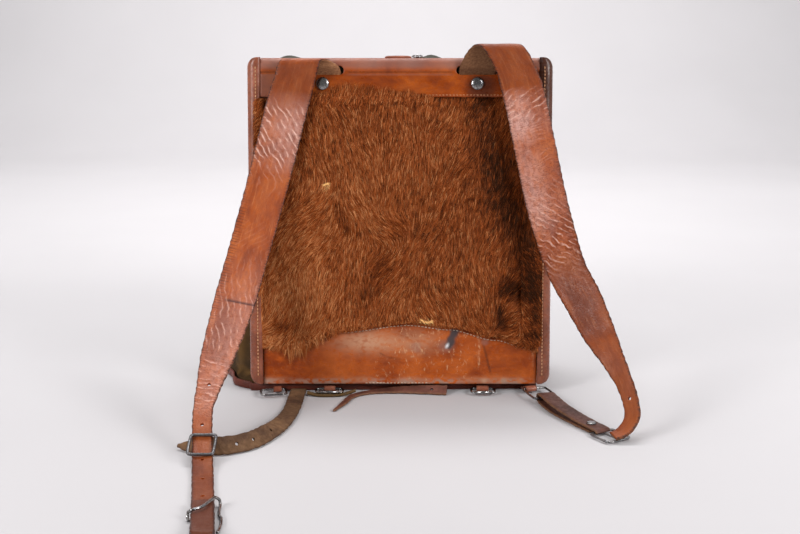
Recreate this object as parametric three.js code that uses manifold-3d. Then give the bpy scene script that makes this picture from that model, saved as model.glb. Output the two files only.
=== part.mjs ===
import * as THREE from 'three';
import { mergeVertices } from 'three/addons/utils/BufferGeometryUtils.js';
import Module from 'manifold-3d';

const wasm = await Module();
wasm.setup();

// A rucksack with a fur back panel, standing with its straps let down on the ground.
// Millimetres. X runs to the right, Y away from the wearer's side, Z up from the ground.

// Leather, canvas and wire
const GAP = 0.35;
const LEATHER = 2.5;
const STRAP_LEATHER = 3;
const THIN_LEATHER = 2.3;
const TAB_LEATHER = 1.6;
const CANVAS = 2;
const WIRE = 1.3;
const WIRE_SIDES = 6;
const PRONG = 1.05;

// Back panel: its length runs up the slope and its foot is the lower edge of the leather
const PANEL_LENGTH = 371;
const PANEL_LEAN = THREE.MathUtils.degToRad(7.5);
const PANEL_FOOT_Y = -62;
const PANEL_FOOT_Z = 6;
const PANEL_INNER = 154.7;

// Top band: height of the flat face, radius of the roll, and how far it runs back
const BAND_LOW = 327;
const BAND_FACE = 3.0;
const BAND_ROLL = 9;
const BAND_BACK = 22;
const SLOT_MIDDLE = 86;
const SLOT_WIDTH = 47;
const SLOT_LOW = 351.5;
const SLOT_HIGH = 361.5;
const RIVET_HEIGHT = 342;
const RIVET_HEAD = 7;
const RIVET_SHANK = 2;

// Bottom band: height of its arched upper edge from side to side, and how far the hair hangs over it
const BOTTOM_FACE = 0.3;
const BOTTOM_LOW = 3.8;
const BOTTOM_ARCH = [
  { u: -155, edge: 49, hang: 25 },
  { u: -105, edge: 59, hang: 21 },
  { u: -65, edge: 66, hang: 5 },
  { u: 10, edge: 74, hang: 3 },
  { u: 55, edge: 69, hang: 3 },
  { u: 108, edge: 57, hang: 5 },
  { u: 140, edge: 49, hang: 14 },
  { u: 155, edge: 43, hang: 12 },
];

// Hair: depth of the nap, its locks, the partings that run through it and the tufts that stand up
const NAP = 7.5;
const NAP_EDGE = 4.2;
const NAP_TIP = 2.2;
const LOCK = { width: 29, length: 37, rise: 1.1 };
const FUR_COLUMNS = 30;
const FUR_ROWS = 24;
const PARTINGS = [
  { fromU: -80, fromV: 222, toU: -54, toV: 178, width: 9, depth: 3.2 },
  { fromU: -15, fromV: 158, toU: -42, toV: 96, width: 12, depth: 3.4 },
  { fromU: -152, fromV: 84, toU: -112, toV: 76, width: 8, depth: 2.6 },
  { fromU: 118, fromV: 128, toU: 150, toV: 92, width: 11, depth: 2.8 },
];
const TUFTS = [
  { u: -12, v: 182, across: 24, along: 26, rise: 2.4 },
  { u: -92, v: 196, across: 26, along: 40, rise: 2.0 },
  { u: 142, v: 66, across: 17, along: 20, rise: 2.8 },
  { u: -132, v: 52, across: 24, along: 16, rise: 2.8 },
  { u: 96, v: 106, across: 38, along: 34, rise: 2.0 },
  { u: 20, v: 262, across: 70, along: 40, rise: 1.6 },
];

// Side bindings: section of the rolled leather, measured out from the panel's middle and forward of it
const BINDING_SECTION = [
  { u: 155.2, w: 3.0 }, { u: 155.2, w: 5.6 }, { u: 157.8, w: 7.6 }, { u: 162.0, w: 8.4 },
  { u: 166.6, w: 7.0 }, { u: 169.5, w: 3.6 }, { u: 170.4, w: -1.0 }, { u: 169.2, w: -5.6 },
  { u: 166.4, w: -8.4 }, { u: 164.8, w: -6.6 }, { u: 166.8, w: -4.2 }, { u: 167.8, w: -1.0 },
  { u: 167.0, w: 2.4 }, { u: 164.8, w: 4.8 }, { u: 161.8, w: 5.8 }, { u: 158.6, w: 5.1 },
  { u: 157.7, w: 3.0 },
];
const BINDING_ROUND = 12;
const BINDING_STEPS = [4.5, 6, 8.5, 13.5, 120, 250, 362, 367, 369.5, 371];

// Bag: half width and set-back of its front edges, its left, right and far sides at each height.
// The left side flares out at its foot.
const BAG_FLANGE = 11.5;
const BAG_SECTIONS = [
  { z: 3, front: 152, back: -15, left: -206, right: 171, far: 58, flare: 18 },
  { z: 14, front: 152, back: -15, left: -205, right: 171, far: 58, flare: 8 },
  { z: 32, front: 163.2, back: 1.2, left: -200, right: 173, far: 66, flare: 0 },
  { z: 95, front: 163.2, back: 1.2, left: -188, right: 174, far: 71, flare: 0 },
  { z: 170, front: 163.2, back: 1.2, left: -172, right: 171, far: 71, flare: 0 },
  { z: 260, front: 163.2, back: 1.2, left: -167, right: 167, far: 64, flare: 0 },
  { z: 350, front: 163.2, back: 1.2, left: -161, right: 161, far: 56, flare: 0 },
];
const BAG_MOUTH = [
  { s: 0, height: 352 },
  { s: 0.12, height: 322 },
  { s: 0.24, height: 322 },
  { s: 0.36, height: 340 },
  { s: 0.64, height: 340 },
  { s: 0.76, height: 322 },
  { s: 0.88, height: 322 },
  { s: 1, height: 352 },
];
const BAG_FOLDS = [
  { s: 0.145, width: 0.017, depth: 5.0, low: 8, high: 150 },
  { s: 0.195, width: 0.020, depth: -4.5, low: 8, high: 190 },
  { s: 0.245, width: 0.022, depth: 5.0, low: 20, high: 210 },
  { s: 0.44, width: 0.040, depth: 4.0, low: 20, high: 160 },
  { s: 0.60, width: 0.045, depth: 4.0, low: 30, high: 180 },
  { s: 0.82, width: 0.026, depth: 4.0, low: 30, high: 220 },
];
const BAG_ROUND_STEPS = 42;
const BAG_LEVELS = [2.9, 13, 32, 62, 100, 145, 195, 250, 305];

// Base: height of its turned-up edge and the line of its front edge, which comes forward to the left
const BASE_EDGE = 9;
const BASE_FRONT = { left: -58.5, right: -51, half: 163 };
const BASE_STEPS = 42;

// Lid: its run from under the band over the top and down the far side, and the bumps along its crest
const LID_HALF = 157;
const LID_RUN = [
  { y: -2, z: 368.0 }, { y: 14, z: 365.6 }, { y: 30, z: 368.4 }, { y: 50, z: 368.4 },
  { y: 66, z: 362 }, { y: 74, z: 346 }, { y: 77, z: 310 }, { y: 79, z: 262 }, { y: 82, z: 205 },
];
const LID_BUMPS = [
  { x: -132, width: 20, rise: 6.5 },
  { x: 36, width: 15, rise: 6 },
  { x: 118, width: 34, rise: 4 },
];
const LID_CREST_Y = 40;
const LID_COLUMNS = 16;
const LID_ROWS = 12;

// Tab and loop behind the top edge
const TAB = { u: -2, width: 30, length: 17, thick: 3 };
const LOOP = { u: 19.5, radius: 5.2, wire: 1.1 };

// Shoulder straps: root on the panel, then down to the ground. Turn is the strap's width about the upright
const LEFT_ROOT = [
  { u: -86, v: 337, w: 1.0, width: 42, turn: 0 },
  { u: -86, v: 348, w: 1.0, width: 42, turn: 0 },
  { u: -86.4, v: 354, w: 2.0, width: 42, turn: 0 },
  { u: -87.2, v: 357.2, w: 5.0, width: 42, turn: 0 },
  { u: -89, v: 360, w: 8.6, width: 42.5, turn: 0 },
  { u: -95, v: 364.4, w: 10.8, width: 43.5, turn: -2 },
  { u: -103, v: 367.2, w: 13.8, width: 45, turn: -4 },
  { u: -109, v: 366, w: 17.8, width: 46, turn: -5 },
  { u: -112, v: 360, w: 20.0, width: 46, turn: -4 },
  { u: -114.5, v: 350, w: 19.4, width: 46.5, turn: -2 },
];
const LEFT_HANG = [
  { x: -125.2, y: -35.5, z: 320.6, width: 46.5, turn: 0 },
  { x: -136.4, y: -43.5, z: 276.0, width: 46.5, turn: 2 },
  { x: -147.5, y: -53.5, z: 233.5, width: 46, turn: 4 },
  { x: -155.3, y: -64.5, z: 204.0, width: 45.5, turn: 5 },
  { x: -164.3, y: -81.0, z: 170.0, width: 45, turn: 6 },
  { x: -176.8, y: -116.0, z: 120.5, width: 45, turn: 6 },
  { x: -183.2, y: -143.0, z: 95.0, width: 41, turn: 5 },
  { x: -189.2, y: -172.0, z: 71.0, width: 35, turn: 4 },
  { x: -193.6, y: -200.0, z: 50.0, width: 25, turn: 3 },
  { x: -195.6, y: -222.0, z: 36.0, width: 20, turn: 2 },
  { x: -193.4, y: -243.0, z: 24.0, width: 20, turn: 0 },
  { x: -190.4, y: -262.0, z: 13.4, width: 20, turn: -4 },
  { x: -187.4, y: -280.0, z: 6.4, width: 20, turn: -8 },
  { x: -183.6, y: -302.0, z: 2.4, width: 20, turn: -10 },
  { x: -171.0, y: -373.6, z: 2.0, width: 20, turn: -10 },
  { x: -160.6, y: -436.0, z: 2.0, width: 20, turn: -10 },
  { x: -159.6, y: -441.6, z: 2.8, width: 20, turn: -10 },
  { x: -159.2, y: -444.0, z: 5.2, width: 20, turn: -10 },
  { x: -159.6, y: -441.6, z: 7.6, width: 20, turn: -10 },
  { x: -160.6, y: -436.0, z: 7.6, width: 20, turn: -10 },
  { x: -164.0, y: -416.0, z: 5.6, width: 20, turn: -10 },
  { x: -171.0, y: -376.0, z: 5.5, width: 19, turn: -10 },
];
const LEFT_HOLES = [17.9, 19.9, 22.15, 23.3, 23.8];
const RIGHT_ROOT = [
  { u: 86, v: 337, w: 1.0, width: 42, turn: 0 },
  { u: 86, v: 348, w: 1.0, width: 42, turn: 0 },
  { u: 86.2, v: 354, w: 2.0, width: 42, turn: 0 },
  { u: 86.6, v: 357.2, w: 5.0, width: 42, turn: 0 },
  { u: 87.6, v: 360, w: 8.6, width: 42.5, turn: 0 },
  { u: 91, v: 367, w: 10.4, width: 44, turn: 2 },
  { u: 97, v: 376, w: 11.6, width: 46, turn: 4 },
  { u: 104, v: 382, w: 14.8, width: 48, turn: 5 },
  { u: 110, v: 382, w: 19.8, width: 48, turn: 5 },
  { u: 116, v: 376, w: 23.4, width: 47, turn: 4 },
  { u: 123, v: 364, w: 23.8, width: 46, turn: 3 },
  { u: 129.5, v: 350, w: 22.0, width: 46, turn: 2 },
];
const RIGHT_HANG = [
  { x: 137.4, y: -40.5, z: 329.0, width: 46, turn: 0 },
  { x: 149.0, y: -51.0, z: 275.0, width: 46, turn: -4 },
  { x: 160.4, y: -63.5, z: 221.2, width: 46, turn: -14 },
  { x: 168.8, y: -73.5, z: 189.5, width: 46, turn: -24 },
  { x: 181.6, y: -91.5, z: 148.6, width: 45, turn: -32 },
  { x: 197.0, y: -112.0, z: 119.6, width: 43, turn: -36 },
  { x: 210.0, y: -136.5, z: 91.8, width: 36, turn: -36 },
  { x: 220.6, y: -161.0, z: 71.0, width: 26, turn: -40 },
  { x: 230.2, y: -182.5, z: 50.2, width: 20, turn: -48 },
  { x: 234.6, y: -198.0, z: 34.0, width: 19, turn: -52 },
  { x: 234.4, y: -208.0, z: 22.4, width: 19, turn: -56 },
  { x: 229.0, y: -214.0, z: 14.0, width: 19, turn: -60 },
  { x: 221.6, y: -217.6, z: 8.6, width: 18, turn: -62 },
  { x: 213.6, y: -219.4, z: 6.0, width: 17, turn: -64 },
];
const RIGHT_HOLES = [20.8];
const HOLE = 1.9;

// Straps along the ground. Tilt lifts one edge of the strap
const LEFT_LOWER = [
  { x: -116, y: -58.6, z: 1.7, width: 18.4, turn: 0, tilt: 0 },
  { x: -116.4, y: -90, z: 1.7, width: 18.4, turn: 0, tilt: 0 },
  { x: -117.6, y: -128, z: 1.9, width: 18.4, turn: -4, tilt: -2 },
  { x: -120.4, y: -158, z: 3.4, width: 18.4, turn: -10, tilt: -10 },
  { x: -125.6, y: -188, z: 5.6, width: 18.4, turn: -18, tilt: -26 },
  { x: -133, y: -213, z: 7.8, width: 18.4, turn: -32, tilt: -44 },
  { x: -143.4, y: -234, z: 8.7, width: 18.4, turn: -44, tilt: -55 },
  { x: -158, y: -247, z: 8.7, width: 18.4, turn: -58, tilt: -56 },
  { x: -176, y: -253, z: 8.7, width: 18.4, turn: -76, tilt: -56 },
  { x: -195, y: -251, z: 8.0, width: 17, turn: -94, tilt: -54 },
  { x: -208.5, y: -245.6, z: 5.6, width: 11, turn: -106, tilt: -50 },
  { x: -218.6, y: -239.6, z: 3.8, width: 3.5, turn: -110, tilt: -46 },
];
const LEFT_LOWER_HOLES = [0.9, 4.8, 6.15, 7.1];
const BASE_STRAP = [
  { x: 53, y: -71.4, z: 4.9, width: 13.5, turn: 90, tilt: 32 },
  { x: 30, y: -68.4, z: 4.7, width: 13, turn: 92, tilt: 32 },
  { x: -6, y: -65, z: 3.0, width: 12, turn: 94, tilt: 14 },
  { x: -36, y: -69, z: 1.6, width: 10, turn: 98, tilt: 0 },
  { x: -53, y: -82, z: 1.6, width: 8, turn: 140, tilt: 0 },
  { x: -62, y: -106, z: 1.6, width: 7, turn: 158, tilt: 0 },
  { x: -71.5, y: -131, z: 1.6, width: 2.5, turn: 158, tilt: 0 },
];
const BASE_STRAP_HOLES = [0.75];

// Doubled strap on the right: one layer out from the ring, the fold round the buckle's bar, and back
const RIGHT_RING = { x: 157, y: -83, z: 5.6, turn: -16, half: 13.5, length: 34 };
const RIGHT_BUCKLE = { x: 212.9, y: -209.5, z: 2.4, turn: -31.5, half: 14.5, length: 28 };
const LOWER_LINE = [
  { x: 161.7, y: -99.3 },
  { x: 167.6, y: -126 },
  { x: 179.2, y: -150 },
  { x: 191.6, y: -174.5 },
  { x: 205.4, y: -197.5 },
];
const LOWER_WIDTH = 19;
const LOWER_OPEN = 4.6;
const NOTCH = { width: 3.2, length: 10 };
const LOOP_RIVET = { share: 0.86, head: 5, shank: 1.6, high: 1.2 };

// Small fittings along the foot of the panel
const LEFT_LOOP = { x: -142.6, y: -75.4, z: 4.2, turn: -9, half: 14, length: 19, chapeAt: 5, chape: 9.6 };
const BASE_BUCKLES = [
  { side: 'left', x: -80, y: -69.6, z: 4.2, half: 15, length: 13, chape: 13 },
  { side: 'right', x: 94, y: -70, z: 4.2, half: 13, length: 14, chape: 14 },
];
const RING_CHAPE = { length: 14.6, width: 13, offset: -4 };
const CANVAS_TAB = [
  { x: -105, y: -78, z: 3.0 }, { x: -95, y: -81, z: 1.6 }, { x: -80, y: -82.5, z: 1.4 },
  { x: -64, y: -80, z: 1.8 }, { x: -50, y: -73, z: 4.0 },
];
const EYELET = { share: 0.78, radius: 2 };
const LEFT_BUCKLE = { station: 21.2, half: 12.2, length: 26, wire: 1.5 };
const HOOK_LINE = [
  { x: -177.3, y: -407, z: 1.8 }, { x: -178.9, y: -402.5, z: 2.8 }, { x: -178.6, y: -400.6, z: 6.6 },
  { x: -174.6, y: -401.6, z: 9.4 }, { x: -169.4, y: -397.8, z: 9.4 }, { x: -165.5, y: -391, z: 9.4 },
  { x: -162.3, y: -381.5, z: 9.4 }, { x: -160, y: -375.2, z: 8.8 }, { x: -156.8, y: -372.6, z: 5.8 },
  { x: -155.4, y: -376.5, z: 2.6 }, { x: -154.6, y: -387, z: 2.0 }, { x: -153, y: -397, z: 2.0 },
  { x: -150.6, y: -402, z: 2.0 }, { x: -149.2, y: -412, z: 2.0 }, { x: -148.8, y: -421, z: 2.0 },
  { x: -149.2, y: -431, z: 2.6 },
];

const FUR_COLOUR = 0x8a4a26;
const STRAP_COLOUR = 0xb4683f;
const BAND_COLOUR = 0xa4562a;
const BINDING_COLOUR = 0x6e372d;
const DARK_LEATHER = 0x5a3a30;
const CANVAS_COLOUR = 0x6e5f3c;
const LID_COLOUR = 0x4b4a44;
const STEEL_COLOUR = 0x8c8c91;

const rising = new THREE.Vector3(0, Math.sin(PANEL_LEAN), Math.cos(PANEL_LEAN));
const outward = new THREE.Vector3(0, -Math.cos(PANEL_LEAN), Math.sin(PANEL_LEAN));

// A place on the panel: u to the right, v up its slope, w out towards the wearer.
function onPanel(u, v, w) {
  const foot = new THREE.Vector3(u, PANEL_FOOT_Y, PANEL_FOOT_Z);
  return foot.addScaledVector(rising, v).addScaledVector(outward, w);
}

// A column of a table at any place along its key column, eased from row to row.
function fromTable(rows, key, at, column) {
  const last = rows.length - 1;
  if (at <= rows[0][key]) return rows[0][column];
  if (at >= rows[last][key]) return rows[last][column];
  const next = rows.findIndex((row) => row[key] > at);
  const share = (at - rows[next - 1][key]) / (rows[next][key] - rows[next - 1][key]);
  const eased = share * share * (3 - 2 * share);
  return THREE.MathUtils.lerp(rows[next - 1][column], rows[next][column], eased);
}

// A bell of height 1 at zero that dies away by about one width.
function bell(distance, width) {
  return Math.exp(-((distance / width) ** 2) * 1.5);
}

// Triangles turned so that the closed skin faces out.
function skin(points, triangles) {
  let volume = 0;
  for (const [a, b, c] of triangles) {
    volume += points[a].dot(new THREE.Vector3().crossVectors(points[b], points[c]));
  }
  const facing = volume > 0 ? triangles : triangles.map(([a, b, c]) => [a, c, b]);
  const geometry = new THREE.BufferGeometry();
  const numbers = points.flatMap((p) => [p.x, p.y, p.z]);
  geometry.setAttribute('position', new THREE.Float32BufferAttribute(numbers, 3));
  geometry.setIndex(facing.flat());
  return geometry;
}

// Triangles that fill one flat ring of points, in the ring's own turning sense.
function fill(ring) {
  const normal = new THREE.Vector3();
  ring.forEach((p, i) => {
    const q = ring[(i + 1) % ring.length];
    normal.add(new THREE.Vector3().crossVectors(p.clone().sub(ring[0]), q.clone().sub(ring[0])));
  });
  normal.normalize();
  const across = new THREE.Vector3(1, 0, 0);
  if (Math.abs(normal.x) > 0.8) across.set(0, 1, 0);
  across.addScaledVector(normal, -across.dot(normal)).normalize();
  const upright = new THREE.Vector3().crossVectors(normal, across);
  const flat = ring.map((p) => new THREE.Vector2(p.dot(across), p.dot(upright)));
  return THREE.ShapeUtils.triangulateShape(flat, []).map(([a, b, c]) => {
    const turn = flat[b].clone().sub(flat[a]).cross(flat[c].clone().sub(flat[a]));
    return turn > 0 ? [a, b, c] : [a, c, b];
  });
}

// A closed skin over a row of like rings, with its ends filled, or joined end to end.
function loft(rings, endless = false) {
  const count = rings[0].length;
  const spans = endless ? rings.length : rings.length - 1;
  const triangles = [];
  for (let i = 0; i < spans; i += 1) {
    const here = i * count;
    const there = ((i + 1) % rings.length) * count;
    for (let j = 0; j < count; j += 1) {
      const next = (j + 1) % count;
      triangles.push([here + j, here + next, there + next], [here + j, there + next, there + j]);
    }
  }
  if (!endless) {
    const end = (rings.length - 1) * count;
    fill(rings[0]).forEach(([a, b, c]) => triangles.push([a, c, b]));
    fill(rings[rings.length - 1]).forEach(([a, b, c]) => triangles.push([end + a, end + b, end + c]));
  }
  return skin(rings.flat(), triangles);
}

// A wall with a face and a back, each a function of two shares from 0 to 1, closed round its rim.
function wall(columns, rows, face, back) {
  const rings = [];
  for (let i = 0; i <= columns; i += 1) {
    const ring = [];
    for (let j = 0; j <= rows; j += 1) ring.push(face(i / columns, j / rows));
    for (let j = rows; j >= 0; j -= 1) ring.push(back(i / columns, j / rows));
    rings.push(ring);
  }
  return ladder(rings, rows);
}

// Rings that are each a face run up and a back run down, with both end rims filled rung by rung.
function ladder(rings, rows) {
  const count = rings[0].length;
  const triangles = [];
  for (let i = 0; i + 1 < rings.length; i += 1) {
    for (let j = 0; j < count; j += 1) {
      const next = (j + 1) % count;
      const [a, b] = [i * count + j, i * count + next];
      const [c, d] = [b + count, a + count];
      triangles.push([a, b, c], [a, c, d]);
    }
  }
  const end = (rings.length - 1) * count;
  for (let j = 0; j < rows; j += 1) {
    const far = count - 1 - j;
    triangles.push([j, far, j + 1], [j + 1, far, far - 1]);
    triangles.push([end + j, end + j + 1, end + far], [end + j + 1, end + far - 1, end + far]);
  }
  return skin(rings.flat(), triangles);
}

function toSolid(geometry) {
  const bare = geometry.clone();
  bare.deleteAttribute('normal');
  bare.deleteAttribute('uv');
  const welded = mergeVertices(bare, 1e-4);
  const mesh = new wasm.Mesh({
    numProp: 3,
    vertProperties: Float32Array.from(welded.attributes.position.array),
    triVerts: Uint32Array.from(welded.index.array),
  });
  return new wasm.Manifold(mesh);
}

function fromSolid(solid) {
  const mesh = solid.getMesh();
  const geometry = new THREE.BufferGeometry();
  geometry.setAttribute('position', new THREE.Float32BufferAttribute(mesh.vertProperties, 3));
  geometry.setIndex([...mesh.triVerts]);
  return geometry;
}

function cut(geometry, cutters) {
  let solid = toSolid(geometry);
  for (const cutter of cutters) solid = solid.subtract(toSolid(cutter));
  return fromSolid(solid);
}

// The frame of a strap at any station: its place, its run, its width and the way it faces.
function strapFrame(stations, at) {
  const line = new THREE.CatmullRomCurve3(stations.map((s) => s.place), false, 'centripetal');
  const share = at / (stations.length - 1);
  const run = line.getTangent(share);
  const low = Math.min(Math.floor(at), stations.length - 2);
  const part = at - low;
  const width = THREE.MathUtils.lerp(stations[low].width, stations[low + 1].width, part);
  const turn = THREE.MathUtils.lerp(stations[low].turn, stations[low + 1].turn, part);
  const tilt = THREE.MathUtils.lerp(stations[low].tilt ?? 0, stations[low + 1].tilt ?? 0, part);
  const angle = THREE.MathUtils.degToRad(turn);
  const lift = THREE.MathUtils.degToRad(tilt);
  const level = Math.cos(lift);
  const side = new THREE.Vector3(Math.cos(angle) * level, Math.sin(angle) * level, Math.sin(lift));
  const square = THREE.MathUtils.lerp(stations[low].square ?? 1, stations[low + 1].square ?? 1, part);
  side.addScaledVector(run, -side.dot(run) * square).normalize();
  const facing = new THREE.Vector3().crossVectors(run, side).normalize();
  return { place: line.getPoint(share), run, side, facing, width };
}

// A strap of even thickness through its stations, with punched holes at the named stations.
function strap(stations, thickness, stepsEach, holes = []) {
  const steps = (stations.length - 1) * stepsEach;
  const rings = [];
  for (let k = 0; k <= steps; k += 1) {
    const { place, side, facing, width } = strapFrame(stations, k / stepsEach);
    const corner = (a, b) => place.clone()
      .addScaledVector(side, a * width).addScaledVector(facing, b * thickness);
    rings.push([corner(-0.5, -0.5), corner(0.5, -0.5), corner(0.5, 0.5), corner(-0.5, 0.5)]);
  }
  const punches = holes.map((at) => {
    const { place, run, side, facing } = strapFrame(stations, at);
    const punch = new THREE.CylinderGeometry(HOLE, HOLE, thickness * 2.2, 6);
    return punch.applyMatrix4(new THREE.Matrix4().makeBasis(side, facing, run).setPosition(place));
  });
  const band = loft(rings);
  return punches.length ? cut(band, punches) : band;
}

function groundStations(rows) {
  return rows.map((row) => ({ ...row, place: new THREE.Vector3(row.x, row.y, row.z) }));
}

// At the root the strap slides sideways as it bends, so its width stays level there.
function rootStations(rows) {
  return rows.map((row) => ({ ...row, place: onPanel(row.u, row.v, row.w), square: 0 }));
}

// Round wire along a line, closed on itself or with flat ends.
function wire(points, radius, steps, endless) {
  const line = new THREE.CatmullRomCurve3(points, endless, 'catmullrom', 0.35);
  const frames = line.computeFrenetFrames(steps, endless);
  const rings = [];
  for (let k = 0; k < (endless ? steps : steps + 1); k += 1) {
    const centre = line.getPointAt(k / steps);
    const ring = [];
    for (let j = 0; j < WIRE_SIDES; j += 1) {
      const angle = (j / WIRE_SIDES) * Math.PI * 2;
      ring.push(centre.clone()
        .addScaledVector(frames.normals[k], Math.cos(angle) * radius)
        .addScaledVector(frames.binormals[k], Math.sin(angle) * radius));
    }
    rings.push(ring);
  }
  return loft(rings, endless);
}

// A flat frame of wire with rounded corners: half its width, its length and the rounding of the far side.
function frameLine(half, length, rounding) {
  const near = -length / 2;
  const far = length / 2;
  const soft = 3;
  return [
    [-half + soft, near], [0, near], [half - soft, near], [half, near + soft],
    [half, far - rounding], [half - rounding, far], [0, far], [-half + rounding, far],
    [-half, far - rounding], [-half, near + soft],
  ].map(([x, y]) => new THREE.Vector3(x, -y, 0));
}

function placed(geometry, { x, y, z, turn = 0, tilt = 0 }) {
  const spin = new THREE.Euler(
    THREE.MathUtils.degToRad(tilt), 0, THREE.MathUtils.degToRad(-turn), 'ZXY');
  const spot = new THREE.Matrix4().makeRotationFromEuler(spin).setPosition(x, y, z);
  return geometry.applyMatrix4(spot);
}

// Leather folded round a bar: in along the top, round the bar, and back along the ground.
function foldedTab({ rootX, rootY, barX, barY, barZ, width, leather, wireRadius }) {
  const out = new THREE.Vector3(barX - rootX, barY - rootY, 0).normalize();
  const turn = THREE.MathUtils.radToDeg(Math.atan2(out.y, out.x)) + 90;
  const reach = wireRadius + GAP + leather / 2;
  const rootTop = leather * 2 + 0.5;
  const spot = (along, z, share) => ({
    place: new THREE.Vector3(barX + out.x * along, barY + out.y * along, z), width: width * share, turn,
  });
  const root = -Math.hypot(barX - rootX, barY - rootY);
  const low = Math.max(barZ - reach, leather / 2 + GAP);
  const line = [
    spot(root, rootTop, 1), spot(root * 0.55, rootTop * 0.5 + (barZ + reach) * 0.5, 1),
    spot(-0.6, barZ + reach, 1), spot(reach * 0.75, barZ + reach * 0.7, 1), spot(reach * 1.05, barZ, 1),
    spot(reach * 0.75, barZ - reach * 0.7, 1), spot(-0.6, barZ - reach, 1), spot(root, low, 1),
  ];
  return strap(line, leather, 2);
}

const model = new THREE.Group();

function add(name, geometry, colour, metalness = 0, roughness = 0.6) {
  const material = new THREE.MeshStandardMaterial({ color: colour, metalness, roughness });
  const mesh = new THREE.Mesh(geometry, material);
  mesh.name = name;
  model.add(mesh);
}

// Fur panel: each column runs up its face from the fringe to the band and down its flat back.
function napAt(u, v) {
  const low = fromTable(BOTTOM_ARCH, 'u', u, 'edge');
  const side = THREE.MathUtils.smoothstep(PANEL_INNER - Math.abs(u), 0, 26);
  const top = THREE.MathUtils.smoothstep(BAND_LOW - v, 0, 16);
  let height = NAP_EDGE + (NAP - NAP_EDGE) * side * (0.45 + 0.55 * top);
  const row = Math.floor(v / LOCK.length + 0.35 * Math.sin(u / 31));
  const along = v / LOCK.length + 0.35 * Math.sin(u / 31) - row;
  const across = Math.cos((u / LOCK.width + row * 0.37) * Math.PI * 2);
  height += LOCK.rise * side * top * (0.8 - 1.6 * along + 0.7 * across);
  for (const p of PARTINGS) {
    const start = new THREE.Vector3(p.fromU, p.fromV, 0);
    const line = new THREE.Line3(start, new THREE.Vector3(p.toU, p.toV, 0));
    const near = line.closestPointToPoint(new THREE.Vector3(u, v, 0), true, new THREE.Vector3());
    height -= p.depth * bell(near.distanceTo(new THREE.Vector3(u, v, 0)), p.width);
  }
  for (const t of TUFTS) height += t.rise * bell((u - t.u) / t.across, 1) * bell((v - t.v) / t.along, 1);
  const ruffle = 0.35 * Math.sin(v / 9 + u / 17);
  return Math.max(height, 3.6) + 0.3 * THREE.MathUtils.smoothstep(v - low, 0, 20) + ruffle;
}

function furPanel() {
  const half = PANEL_INNER - GAP / 2;
  const underBand = BOTTOM_FACE + LEATHER + GAP;
  const rings = [];
  for (let i = 0; i <= FUR_COLUMNS; i += 1) {
    const u = THREE.MathUtils.lerp(-half, half, i / FUR_COLUMNS);
    const edge = fromTable(BOTTOM_ARCH, 'u', u, 'edge') + 2 * GAP;
    const uneven = 1 + 0.28 * Math.sin(u * 0.37) + 0.2 * Math.sin(u * 0.91 + 1);
    const fringe = edge - fromTable(BOTTOM_ARCH, 'u', u, 'hang') * uneven;
    const ring = [onPanel(u, fringe, underBand), onPanel(u, fringe + 0.6, underBand + NAP_TIP)];
    for (let j = 0; j <= FUR_ROWS; j += 1) {
      const v = THREE.MathUtils.lerp(edge + 0.5, BAND_LOW - 1.2, j / FUR_ROWS);
      ring.push(onPanel(u, v, napAt(u, v)));
    }
    ring.push(onPanel(u, BAND_LOW - GAP, LEATHER), onPanel(u, BAND_LOW + 7, LEATHER));
    ring.push(onPanel(u, BAND_LOW + 7, 0), onPanel(u, edge, 0), onPanel(u, edge, underBand));
    rings.push(ring);
  }
  return loft(rings);
}

// Top band: its section runs up the face, over the roll and back along the top.
function topBand() {
  const outer = [];
  const inner = [];
  const centre = { w: BAND_FACE + LEATHER - BAND_ROLL, v: PANEL_LENGTH - BAND_ROLL };
  outer.push([BAND_FACE + LEATHER, BAND_LOW]);
  inner.push([BAND_FACE, BAND_LOW]);
  for (let k = 0; k <= 8; k += 1) {
    const angle = (k / 8) * (Math.PI / 2);
    const [c, s] = [Math.cos(angle), Math.sin(angle)];
    outer.push([centre.w + BAND_ROLL * c, centre.v + BAND_ROLL * s]);
    inner.push([centre.w + (BAND_ROLL - LEATHER) * c, centre.v + (BAND_ROLL - LEATHER) * s]);
  }
  outer.push([centre.w - BAND_BACK, PANEL_LENGTH]);
  inner.push([centre.w - BAND_BACK, PANEL_LENGTH - LEATHER]);
  const section = [...outer, ...inner.reverse()];
  const band = loft([-PANEL_INNER, PANEL_INNER].map((u) => section.map(([w, v]) => onPanel(u, v, w))));
  const lean = new THREE.Matrix4().makeRotationX(-PANEL_LEAN);
  const cutters = [];
  for (const side of [-1, 1]) {
    const slot = new THREE.BoxGeometry(SLOT_WIDTH, 20, SLOT_HIGH - SLOT_LOW).applyMatrix4(lean);
    const spot = onPanel(side * SLOT_MIDDLE, (SLOT_LOW + SLOT_HIGH) / 2, BAND_FACE);
    const bore = RIVET_SHANK + GAP;
    const hole = new THREE.CylinderGeometry(bore, bore, 20, 10).applyMatrix4(lean);
    const place = onPanel(side * SLOT_MIDDLE, RIVET_HEIGHT, BAND_FACE);
    cutters.push(slot.translate(spot.x, spot.y, spot.z), hole.translate(place.x, place.y, place.z));
  }
  return cut(band, cutters);
}

function bottomBand() {
  const steps = 30;
  const point = (a, b, w) => {
    const u = THREE.MathUtils.lerp(-PANEL_INNER, PANEL_INNER, a);
    return onPanel(u, THREE.MathUtils.lerp(BOTTOM_LOW, fromTable(BOTTOM_ARCH, 'u', u, 'edge'), b), w);
  };
  return wall(steps, 1, (a, b) => point(a, b, BOTTOM_FACE + LEATHER), (a, b) => point(a, b, BOTTOM_FACE));
}

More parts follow.
